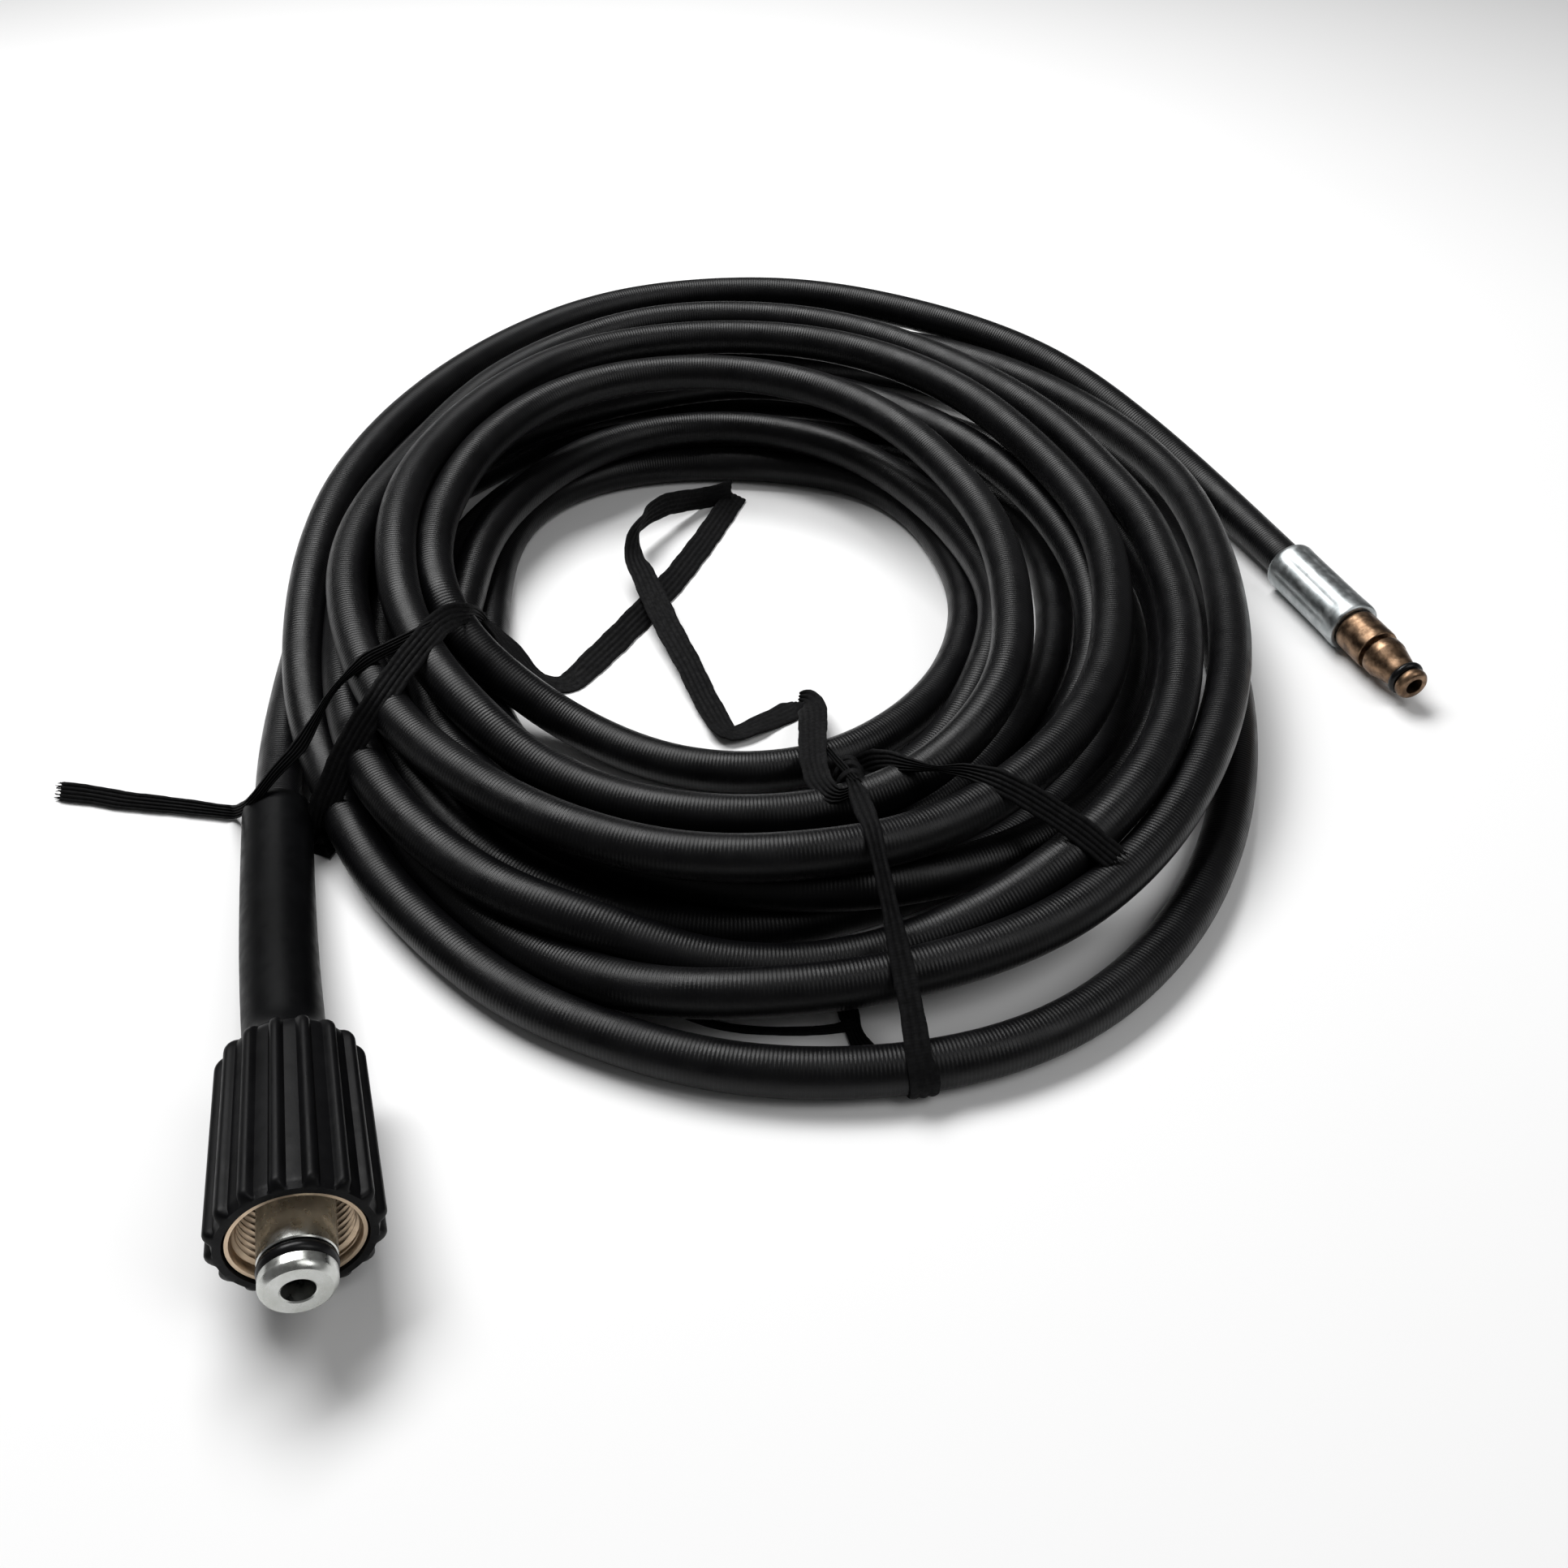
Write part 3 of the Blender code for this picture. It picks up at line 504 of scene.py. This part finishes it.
def tube(name, line, radius, sides, mat, cap=True):
    """Round tube along a line, without twist; U of its UV runs along it in metres."""
    n = len(line)
    T = np.gradient(line, axis=0)
    T /= np.linalg.norm(T, axis=1)[:, None]
    run = np.r_[0, np.cumsum(np.linalg.norm(np.diff(line, axis=0), axis=1))] * MM
    x = np.cross(T[0], [0, 0, 1.0])
    x /= np.linalg.norm(x)
    verts = []
    for i in range(n):
        x = x - T[i] * (x @ T[i])
        x /= np.linalg.norm(x)
        y = np.cross(T[i], x)
        r = radius[i] if hasattr(radius, "__len__") else radius
        for k in range(sides):
            a = 2 * math.pi * k / sides
            verts.append(line[i] + r * (math.cos(a) * x + math.sin(a) * y))
    faces = grid_faces(n, sides)
    uvs = []
    for i in range(n - 1):
        for k in range(sides):
            uvs.append([(run[i], k / sides), (run[i], (k + 1) / sides), (run[i + 1], (k + 1) / sides), (run[i + 1], k / sides)])
    if cap:
        faces.append(tuple(range(sides))[::-1])
        faces.append(tuple((n - 1) * sides + k for k in range(sides)))
        uvs += [[(0, k / sides) for k in range(sides)], [(run[-1], k / sides) for k in range(sides)]]
    return add_mesh(name, verts, faces, mat, uvs=uvs, sharp=60)


LINE = FINE[::-1]                        # from the sleeve to the ferrule
_near = np.linalg.norm(LINE[:60] - SLEEVE_LINE[-1], axis=1)
_end = int(np.argmin(_near))
LINE = LINE[max(0, _end - 6):]           # 22 mm of it shows no more, inside the sleeve
hose = tube("hose", LINE, HOSE_D / 2, 26, HOSE)
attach(hose, "hose")
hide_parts("hose_coil", "outer_turn", "end_lead")

# ------------------------------------------------------- threaded end pieces


def grip():
    ribs, per = 16, 18
    cols = ribs * per
    z_list = [0.0, 0.25, 0.6, 1.0, 1.5, 2.1, 2.8, 3.6, 4.6, 8.0, 14.0, 20.0, 26.0, 32.0, 37.0, 40.0,
              41.4, 42.2, 42.8, 43.3, 43.7, 44.1, 44.5, 44.8, 45.0]
    verts = []
    for z in z_list:
        top = 14.6 + 1.5 * z / NUT_LENGTH
        low = top - 1.45
        # shoulder at the rear, bevel at the front
        if z < 3.6:
            turn = 1 - math.sqrt(max(0.0, 1 - (1 - z / 3.6) ** 2))
            top -= 2.9 * turn
            low -= 1.6 * turn
        if z > 43.2:
            low -= 0.45 * (z - 43.2) / 1.8
        ahead = z - 43.0
        if ahead > 0:
            top -= 2.6 * (1 - math.sqrt(max(0.0, 1 - (ahead / 2.0) ** 2)))
        for k in range(cols):
            phi = (k % per) / per
            phi = abs(phi if phi < 0.5 else phi - 1)
            half = 0.235
            s = phi / half
            lift = (1 - s ** 2.4) ** 0.55 if s < 1 else 0.0
            r = low + max(0.0, top - low) * lift
            a = 2 * math.pi * k / cols + math.pi / 2
            verts.append((r * math.cos(a), r * math.sin(a), z - NUT_LENGTH))
    rows = len(z_list)
    for r, z in ((13.2, 0.0), (12.75, 0.0), (12.6, -0.5), (12.45, -20.3), (10.4, -20.8), (10.4, -44.6), (11.0, -45.0)):
        for k in range(cols):
            a = 2 * math.pi * k / cols + math.pi / 2
            verts.append((r * math.cos(a), r * math.sin(a), z))
        rows += 1
    ob = add_mesh("grip_nut_detail", verts, grid_faces(rows, cols, True), GRIP, NUT, sharp=40)
    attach(ob, "hand_nut")
    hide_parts("grip_nut")
    return ob


def insert():
    """Brass insert with a real 1.5 mm thread on its inside."""
    cols, pitch = 128, 1.5
    verts, rows = [], 0
    outer = [(12.25, -0.55), (12.4, -0.8), (12.4, -19.9), (12.0, -20.0)]
    front = [(6.3, -20.0), (6.3, -17.5), (11.15, -17.5)]
    body = list(outer) + front
    for r, z in body:
        for k in range(cols):
            a = 2 * math.pi * k / cols
            verts.append((r * math.cos(a), r * math.sin(a), z))
        rows += 1
    steps = int((17.3 - 1.9) / 0.125)
    for i in range(steps + 1):
        z = -17.3 + (17.3 - 1.9) * i / steps
        fade = min(1.0, (-1.9 - z) / 1.2)
        for k in range(cols):
            a = 2 * math.pi * k / cols
            p = (z / pitch + k / cols) % 1.0
            tri = 1 - abs(2 * p - 1)
            crest = min(1.0, max(0.0, (tri - 0.14) / 0.72))
            r = 11.15 - 0.85 * crest * max(0.0, fade)
            verts.append((r * math.cos(a), r * math.sin(a), z))
        rows += 1
    for r, z in ((11.15, -1.7), (11.3, -1.0), (11.55, -0.55)):
        for k in range(cols):
            a = 2 * math.pi * k / cols
            verts.append((r * math.cos(a), r * math.sin(a), z))
        rows += 1
    ob = add_mesh("nut_insert_detail", verts, grid_faces(rows, cols, True), BRASS, NUT, sharp=24)
    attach(ob, "hand_nut")
    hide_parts("nut_insert")


def stem():
    front = 10.6
    profile = [
        (3.0, front - 0.2), (3.3, front), (5.9, front), (6.3, front - 0.25), (6.85, front - 1.2), (6.9, front - 1.5),
        (6.9, front - 3.1), (6.7, front - 3.3), (5.2, front - 3.35), (5.2, front - 6.1), (6.8, front - 6.15),
        (7.0, front - 6.4), (7.0, -15.2), (7.3, -15.6), (9.3, -15.6), (9.6, -15.9), (9.6, -17.2), (6.1, -17.2),
        (6.0, -17.4), (6.0, -24.0), (3.0, -24.0), (3.0, -4.0),
    ]
    ob = turned("plug_stem_detail", profile, 96, ZINC, NUT)
    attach(ob, "hose")
    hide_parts("plug_stem")
    ring = [(6.0 + 1.15 * math.cos(2 * math.pi * k / 16), front - 4.72 - 1.32 * math.sin(2 * math.pi * k / 16)) for k in range(16)]
    ob = turned("plug_o_ring_detail", ring, 96, RUBBER, NUT, sharp=80)
    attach(ob, "hose")
    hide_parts("plug_o_ring")


def sleeve():
    line = SLEEVE_LINE
    n = len(line) - 1
    step = SLEEVE_LENGTH / n
    radius = []
    for i in range(n + 1):
        behind = SLEEVE_START + i * step             # distance behind the nut's front
        r = 8.4
        if behind < 45.0:
            r = 9.6
        elif behind < 53.0:
            t = (53.0 - behind) / 8.0
            r = 8.4 + 2.9 * t ** 2.2
        left = SLEEVE_LENGTH - i * step
        if left < 4.0:
            t = 1 - left / 4.0
            r = 8.4 - 2.4 * (1 - math.sqrt(max(0.0, 1 - t * t)))
        radius.append(r)
    T = np.gradient(line, axis=0)
    T /= np.linalg.norm(T, axis=1)[:, None]
    cols = 48
    verts = []
    rings = [(line[i], T[i], radius[i]) for i in range(n + 1)]
    rings += [(line[n], T[n], 5.75), (line[n - 2], T[n - 2], 5.7)] + [(line[i], T[i], 5.7) for i in (n // 2, 0)]
    for p, t, r in rings:
        x = np.cross([0, 0, 1.0], t)
        x /= np.linalg.norm(x)
        y = np.cross(t, x)
        for k in range(cols):
            a = 2 * math.pi * k / cols
            verts.append(p + r * (math.cos(a) * x + math.sin(a) * y))
    ob = add_mesh("bend_sleeve_detail", verts, grid_faces(len(rings), cols, True), SLEEVE, sharp=50)
    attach(ob, "hose")
    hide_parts("bend_sleeve")
    return ob


grip()
insert()
stem()
sleeve_ob = sleeve()


# -------------------------------------------------------- plug-in end pieces
def ferrule():
    """Ferrule crimped by eight jaws: shallow flats with soft seams between them."""
    cols = 96
    spec = [(0.0, 6.6, 0.0), (0.25, 7.2, 0.0), (0.8, 7.6, 0.0), (1.6, 7.8, 0.0), (2.6, 7.8, 0.03), (3.8, 7.78, 0.12),
            (5.2, 7.75, 0.24), (12.0, 7.74, 0.26), (20.0, 7.74, 0.26), (29.0, 7.76, 0.24), (31.0, 7.78, 0.1),
            (32.6, 7.8, 0.02), (34.4, 7.8, 0.0), (35.1, 7.7, 0.0), (35.5, 7.4, 0.0), (35.6, 7.0, 0.0),
            (35.5, 6.3, 0.0), (34.9, 6.0, 0.0), (34.6, 4.4, 0.0), (29.0, 4.4, 0.0), (28.0, 5.75, 0.0), (1.0, 5.75, 0.0), (0.0, 5.9, 0.0)]
    verts = []
    for z, r, flute in spec:
        for k in range(cols):
            a = 2 * math.pi * k / cols
            s = abs(math.sin(4 * a + 0.35))
            cut = flute * ((1 - s) ** 3.0 + 0.5 * (1 - s * s))
            rr = r - cut
            verts.append((rr * math.cos(a), rr * math.sin(a), z))
    ob = add_mesh("crimp_ferrule_detail", verts, grid_faces(len(spec), cols, True), FERRULE, TAIL, sharp=35)
    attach(ob, "hose")
    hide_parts("crimp_ferrule")
    return ob


def nipple():
    profile = [
        (2.4, 30.6), (4.1, 30.6), (4.1, 35.7), (5.7, 35.75), (6.1, 35.95), (6.35, 36.5), (6.4, 37.1), (6.4, 46.7), (6.3, 47.2),
        (6.1, 47.4), (5.0, 47.5), (4.6, 47.6), (4.6, 48.7), (4.9, 48.85), (5.7, 48.95), (5.95, 49.15), (6.0, 49.5), (6.0, 51.6),
        (5.9, 52.2), (5.6, 53.0), (4.9, 56.1), (4.55, 57.5), (4.35, 59.0), (4.2, 59.35), (3.25, 59.4), (3.2, 59.5), (3.2, 61.9),
        (3.25, 62.0), (4.2, 62.1), (4.5, 62.4), (4.6, 62.8), (4.6, 63.5), (4.45, 64.1), (4.1, 64.6), (3.75, 64.85), (3.6, 64.9),
        (2.55, 64.9), (2.4, 64.75),
    ]
    ob = turned("quick_nipple_detail", profile, 72, BRONZE, TAIL)
    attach(ob, "hose")
    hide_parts("quick_nipple")
    ring = [(4.15 + 1.05 * math.cos(2 * math.pi * k / 14), 60.7 - 1.15 * math.sin(2 * math.pi * k / 14)) for k in range(14)]
    ring_ob = turned("nipple_o_ring_detail", ring, 64, RUBBER, TAIL, sharp=80)
    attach(ring_ob, "hose")
    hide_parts("nipple_o_ring")
    return ob, ring_ob


ferrule_ob = ferrule()
nipple_ob, nipple_ring_ob = nipple()

# --------------------------------------------------------------------- tapes
# What the tapes lie on: the hose, the sleeve and the floor.
dg = bpy.context.evaluated_depsgraph_get()


def solid_tree(obs):
    verts, faces = [], []
    for ob in obs:
        base = len(verts)
        verts += [ob.matrix_world @ v.co / MM for v in ob.data.vertices]
        faces += [tuple(base + i for i in p.vertices) for p in ob.data.polygons]
    return BVHTree.FromPolygons(verts, faces)


BED = solid_tree([hose, sleeve_ob])


def depth_at(u, v, lift):
    """Distance ahead of the camera of what lies at a place in the picture,
    less the tape's own lift."""
    d = sight(u, v)
    L = float(np.linalg.norm(d))
    hit = BED.ray_cast(Vector(EYE), Vector(d / L), 5000.0)
    floor = (0.6 - EYE[2]) / d[2]
    if hit[0] is None:
        return floor
    return min(floor, hit[3] / L - lift)


def laid(places, lift=1.2, every=7.0, twist=False, full=8.0):
    """Tape laid over what the camera sees along a line in the picture, pulled
    straight over the gaps between the hose's turns.  places: (u, v, width in
    the picture); a narrow place is bunched, or turned on edge with twist."""
    P = np.array(places, float)
    run = np.r_[0, np.cumsum(np.linalg.norm(np.diff(P[:, :2], axis=0), axis=1))]
    n = max(3, int(run[-1] / every))
    t = np.linspace(0, run[-1], n)
    u, v, wide = (np.interp(t, run, P[:, k]) for k in range(3))
    near = np.array([1.0 / depth_at(a, b, lift) for a, b in zip(u, v)])
    keep = [0]
    for i in range(1, n):                       # upper hull: a taut strip
        while len(keep) > 1:
            a, b = keep[-2], keep[-1]
            if (near[b] - near[a]) * (t[i] - t[a]) <= (near[i] - near[a]) * (t[b] - t[a]):
                keep.pop()
            else:
                break
        keep.append(i)
    taut = np.interp(t, t[keep], near[keep])
    rows = []
    for a, b, c, w in zip(u, v, taut, wide):
        p = EYE + sight(a, b) / c
        w = w / c / FOCAL_PX
        look = (EYE - p) / np.linalg.norm(EYE - p)
        if twist:
            roll = math.degrees(math.acos(min(1.0, max(0.08, w / full))))
            rows.append((*p, roll, full, 1.0, *look))
        else:
            w = min(full * 1.05, max(1.5, w))
            rows.append((*p, 0.0, w, min(2.3, max(1.0, 7.0 / w)), *look))
    return rows


def strip(name, rows, ridges=5, step=1.6, frayed=False, smooth=3):
    """Elastic tape through rows of (x, y, z, roll, width, thickness, facing):
    roll turns it from its facing direction.  Ridges run along its face."""
    Q = resample(catmull(rows, 8), step)
    Q = np.hstack([eased(Q[:, :3], 0.5, smooth), Q[:, 3:]])
    n = len(Q)
    T = np.gradient(Q[:, :3], axis=0)
    T /= np.linalg.norm(T, axis=1)[:, None]
    prof = []
    m = ridges * 4
    for k in range(m + 1):
        s = k / m
        prof.append((s - 0.5, 0.5 * (0.35 + 0.65 * abs(math.sin(math.pi * ridges * s)) * (1 - 0.25 * abs(2 * s - 1)))))
    for k in range(m, -1, -2):
        prof.append((k / m - 0.5, -0.36))
    cols = len(prof)
    verts = []
    run = np.r_[0, np.cumsum(np.linalg.norm(np.diff(Q[:, :3], axis=0), axis=1))] * MM
    for i in range(n):
        p, t, face = Q[i, :3], T[i], Q[i, 6:9]
        side = np.cross(t, face)
        side /= max(1e-9, np.linalg.norm(side))
        up = np.cross(side, t)
        a = math.radians(Q[i, 3])
        w = math.cos(a) * side + math.sin(a) * up
        h = np.cross(w, t)
        wid = Q[i, 4] * (1 + 0.025 * math.sin(i * 0.9) + 0.015 * math.sin(i * 2.3))
        row = np.array([w * s * wid + h * z * Q[i, 5] for s, z in prof])
        under = 0.15 - (p[2] + row[:, 2].min())
        if under > 0:                           # it stands on the floor, not in it
            p += face / face[2] * under if face[2] > 0.35 else np.array([0, 0, under])
        verts += list(p + row)
    faces = grid_faces(n, cols)
    uvs = []
    for i in range(n - 1):
        for k in range(cols):
            uvs.append([(run[i], k / cols), (run[i], (k + 1) / cols), (run[i + 1], (k + 1) / cols), (run[i + 1], k / cols)])
    faces += [tuple(range(cols))[::-1], tuple((n - 1) * cols + k for k in range(cols))]
    uvs += [[(0, 0)] * cols, [(run[-1], 0)] * cols]
    if frayed:                                  # cut threads standing out of the end
        for k in range(17):
            s = k / 16 - 0.5
            root = Q[-1, :3] + w * s * wid * 0.97 - T[-1] * 0.6
            tip = root + T[-1] * (1.4 + 1.1 * abs(math.sin(k * 2.7))) + w * 0.5 * math.sin(k * 1.9) + h * 0.35 * math.sin(k * 3.1)
            base = len(verts)
            for c in range(4):
                q = math.pi / 2 * c
                verts.append(root + 0.24 * (math.cos(q) * w + math.sin(q) * h))
            for c in range(4):
                q = math.pi / 2 * c
                verts.append(tip + 0.09 * (math.cos(q) * w + math.sin(q) * h))
            for c in range(4):
                d = (c + 1) % 4
                faces.append((base + c, base + d, base + 4 + d, base + 4 + c))
            faces.append((base + 3, base + 2, base + 1, base))
            faces.append((base + 4, base + 5, base + 6, base + 7))
            uvs += [[(run[-1], 0.0), (run[-1], 0.1), (run[-1] + 0.002, 0.1), (run[-1] + 0.002, 0.0)]] * 6
    ob = add_mesh(name, verts, faces, TAPE, uvs=uvs, sharp=60)
    return ob, Q


def around_turn(last, turn, start_deg, end_deg, width, gap=0.8, n=9):
    """Rows that wrap a tape round a turn of the hose, from one angle above the
    floor to another, on the side away from the bore."""
    i = int(np.argmin(np.linalg.norm(turn[:, :2] - np.array(last[:2]), axis=1)))
    c = turn[i]
    t = turn[min(i + 1, len(turn) - 1)] - turn[max(i - 1, 0)]
    t /= np.linalg.norm(t)
    out = np.cross(t, [0, 0, 1.0])
    out /= np.linalg.norm(out)
    if out @ np.r_[c[:2] - AXIS, 0] < 0:
        out = -out
    rows = []
    for k in range(n):
        a = math.radians(start_deg + (end_deg - start_deg) * k / (n - 1))
        face = math.cos(a) * out + math.sin(a) * np.array([0, 0, 1.0])
        p = c + face * (HOSE_D / 2 + gap)
        p[2] = max(p[2], 0.5)
        rows.append((*p, 0.0, width, 1.0, *face))
    return rows


# left tape: loose end on the floor, up over the lead and the turns as a
# narrow strand; a wide band comes back down between the sleeve and the turn
floor_part = laid([(76, 975, 24), (112, 979, 24), (150, 986, 23), (220, 993, 20), (285, 1001, 17)], 0.6)
rows = floor_part + laid([(313, 985, 13), (340, 950, 15), (369, 921, 19), (393, 879, 11), (406, 855, 8), (424, 835, 9),
                          (452, 811, 18), (484, 796, 16), (510, 783, 15), (540, 768, 16)], 1.3)
left_a, path_a = strip("tape_left_strand", rows[::-1], frayed=True)
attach(left_a, "hose")
rows = laid([(597, 765, 8), (588, 758, 18), (575, 755, 26), (558, 758, 32), (540, 769, 33), (514, 799, 33), (489, 831, 34),
             (463, 868, 34), (442, 900, 34), (424, 933, 35), (412, 964, 36), (400, 990, 36), (393, 1012, 34),
             (394, 1035, 30)], 1.3)
low = np.array(rows[-1][:3])
rows += [(*(low + np.array([0.8, 0.3, -4.0])), 0.0, 6.5, 1.2, *rows[-1][6:9]),
         (*(np.array([low[0] + 1.4, low[1] + 1.0, max(4.5, low[2] - 8.0)])), 15.0, 6.0, 1.2, *rows[-1][6:9])]
left_b, _ = strip("tape_left_band", rows)
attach(left_b, "hose")
rows = laid([(590, 757, 14), (595, 762, 5), (610, 776, 10), (628, 796, 19), (641, 812, 20), (654, 827, 14), (665, 835, 11),
             (679, 842, 16), (696, 845, 22), (711, 835, 28), (722, 824, 31), (759, 789, 32), (805, 742, 32), (835, 709, 30),
             (868, 666, 29), (893, 630, 28), (906, 610, 28)], 0.9, twist=True)
left_c, path_c = strip("tape_left_inner", rows)
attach(left_c, "hose")
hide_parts("tie_left")

# front tape: across the bore, over the inner turns to the knot
rows = laid([(900, 606, 26), (872, 613, 24), (822, 621, 26), (799, 633, 20), (789, 646, 5), (782, 663, 16), (782, 686, 24),
             (792, 706, 28), (807, 739, 32), (825, 776, 31), (849, 819, 30), (868, 859, 30), (887, 892, 29), (896, 906, 14),
             (912, 903, 18), (932, 893, 20), (955, 885, 24), (975, 875, 27), (986, 866, 16)], 0.9, twist=True)
front_a, path_fa = strip("tape_front_inner", rows)
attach(front_a, "hose")
rows = laid([(986, 862, 20), (997, 864, 34), (1002, 878, 36), (1001, 911, 35), (1002, 938, 33), (1008, 961, 33),
             (1022, 978, 27), (1036, 982, 18), (1048, 974, 12)], 1.3)
front_b, _ = strip("tape_front_over", rows, smooth=2)
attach(front_b, "hose")

# knot, its short cut end, and the bunched strand down over the turns
rows = laid([(1043, 944, 12), (1051, 964, 15), (1058, 980, 24), (1066, 1000, 26), (1075, 1020, 22), (1086, 1070, 20), (1098, 1124, 22),
             (1109, 1177, 29), (1121, 1231, 30), (1130, 1284, 32), (1132, 1308, 33)], 1.3)
FRONT_TURN = HOSE_LINE[np.abs(np.linalg.norm(HOSE_LINE[:, :2] - AXIS, axis=1) - 180) < 14]
rows += around_turn(rows[-1], FRONT_TURN, 58, -75, 6.3)[1:]
front_c, _ = strip("tape_front_down", rows, ridges=3)
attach(front_c, "hose")
rows = laid([(1056, 948, 24), (1064, 944, 34), (1078, 939, 33), (1095, 938, 27), (1130, 944, 14), (1155, 947, 6), (1190, 949, 19),
             (1226, 960, 30), (1262, 978, 33), (1297, 1000, 33), (1333, 1024, 34), (1374, 1058, 34)], 1.5)
front_d, path_fd = strip("tape_front_tail", rows, frayed=True)
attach(front_d, "hose")
rows = laid([(1056, 964, 10), (1040, 946, 10), (1030, 935, 10), (1021, 924, 9)], 2.2, every=5.0)
front_e, _ = strip("tape_front_stub", rows, ridges=3, frayed=True)
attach(front_e, "hose")

# the far side of the front tie, on the floor under the turns
def floor_rows(places, thick=1.0):
    rows = []
    for u, v, w in places:
        p = on_height(u, v, 0.5)
        wide = w * float((p - EYE) @ AHEAD) / FOCAL_PX
        rows.append((*p, 0.0, wide, thick, 0.0, 0.0, 1.0))
    return rows


front_f, _ = strip("tape_front_low", floor_rows([(1020, 1195, 26), (1034, 1222, 27), (1044, 1242, 26), (1048, 1257, 24),
                                                 (1052, 1271, 21), (1060, 1286, 26), (1074, 1306, 33), (1082, 1322, 34)]))
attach(front_f, "hose")
front_g, _ = strip("tape_front_low_strand", floor_rows([(846, 1252, 8), (880, 1263, 9), (918, 1269, 9), (980, 1271, 10),
                                                        (1030, 1268, 12), (1052, 1262, 16)], 1.6), ridges=3)
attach(front_g, "hose")


def knot():
    """Knot of the bunched tape pulled tight: its turns lie round the strand
    that runs down from it."""
    top = EYE + sight(1041, 941) * depth_at(1041, 941, 2.6)
    end = EYE + sight(1055, 976) * depth_at(1055, 976, 2.6)
    long = end - top
    reach = np.linalg.norm(long)
    d = long / reach
    look = EYE - top
    look -= d * (look @ d)
    look /= np.linalg.norm(look)
    across = np.cross(d, look)
    n, turns = 130, 3.1
    line = []
    for k in range(n):
        f = k / (n - 1)
        a = 2 * math.pi * turns * f
        r = 1.75 + 0.75 * math.sin(math.pi * f) + 0.12 * math.sin(3.1 * a)
        line.append(top + d * (reach * (0.06 + 0.88 * f)) + r * (math.cos(a) * (across + 0.35 * d) + math.sin(a) * look))
    line = np.array(line)
    T = np.gradient(line, axis=0)
    T /= np.linalg.norm(T, axis=1)[:, None]
    cols, verts = 20, []
    for i in range(n):
        x = np.cross(T[i], d)
        x /= max(1e-9, np.linalg.norm(x))
        y = np.cross(T[i], x)
        for k in range(cols):
            a = 2 * math.pi * k / cols
            r = 1.3 * (1 + 0.11 * math.cos(6 * a)) * (0.7 + 0.3 * min(1.0, min(i, n - 1 - i) / 10))
            verts.append(line[i] + r * (math.cos(a) * x + math.sin(a) * y))
    uvs = []
    for i in range(n - 1):
        for k in range(cols):
            uvs.append([(i * 0.0004, k / cols), (i * 0.0004, (k + 1) / cols), ((i + 1) * 0.0004, (k + 1) / cols), ((i + 1) * 0.0004, k / cols)])
    faces = grid_faces(n, cols) + [tuple(range(cols))[::-1], tuple((n - 1) * cols + k for k in range(cols))]
    uvs += [[(0, 0)] * cols, [(0.05, 0)] * cols]
    ob = add_mesh("tape_front_knot", verts, faces, TAPE, uvs=uvs, sharp=70)
    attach(ob, "hose")
    return ob


knot_ob = knot()
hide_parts("tie_front")


# ------------------------------------------------------------ floor and light
def floor():
    mat, t, b = new_material("pale_floor", (0.86, 0.86, 0.86), 0.75)
    t.links.new(two_colours(t, noise(t, 3.0, 2.0), (0.855, 0.855, 0.855), (0.87, 0.87, 0.87)), b.inputs["Base Color"])
    bpy.ops.mesh.primitive_plane_add(size=6.0, location=(0, 0, 0))
    ob = bpy.context.object
    ob.name = "floor"
    ob.data.materials.append(mat)


def softbox(name, where, target, size, power):
    data = bpy.data.lights.new(name, "AREA")
    data.shape = "RECTANGLE"
    data.size, data.size_y = size
    data.energy = power
    ob = bpy.data.objects.new(name, data)
    scene.collection.objects.link(ob)
    ob.location = where
    ob.rotation_euler = (Vector(target) - Vector(where)).to_track_quat("-Z", "Y").to_euler()
    return ob


floor()
softbox("key", (-0.35, 0.45, 1.0), (0, 0, 0), (0.9, 0.45), 17.0)
softbox("fill", (0.75, -0.35, 1.1), (0, 0, 0), (0.5, 0.9), 5.0)
world = bpy.data.worlds.new("studio")
scene.world = world
world.use_nodes = True
world.node_tree.nodes["Background"].inputs["Color"].default_value = (1, 1, 1, 1)
world.node_tree.nodes["Background"].inputs["Strength"].default_value = 0.12

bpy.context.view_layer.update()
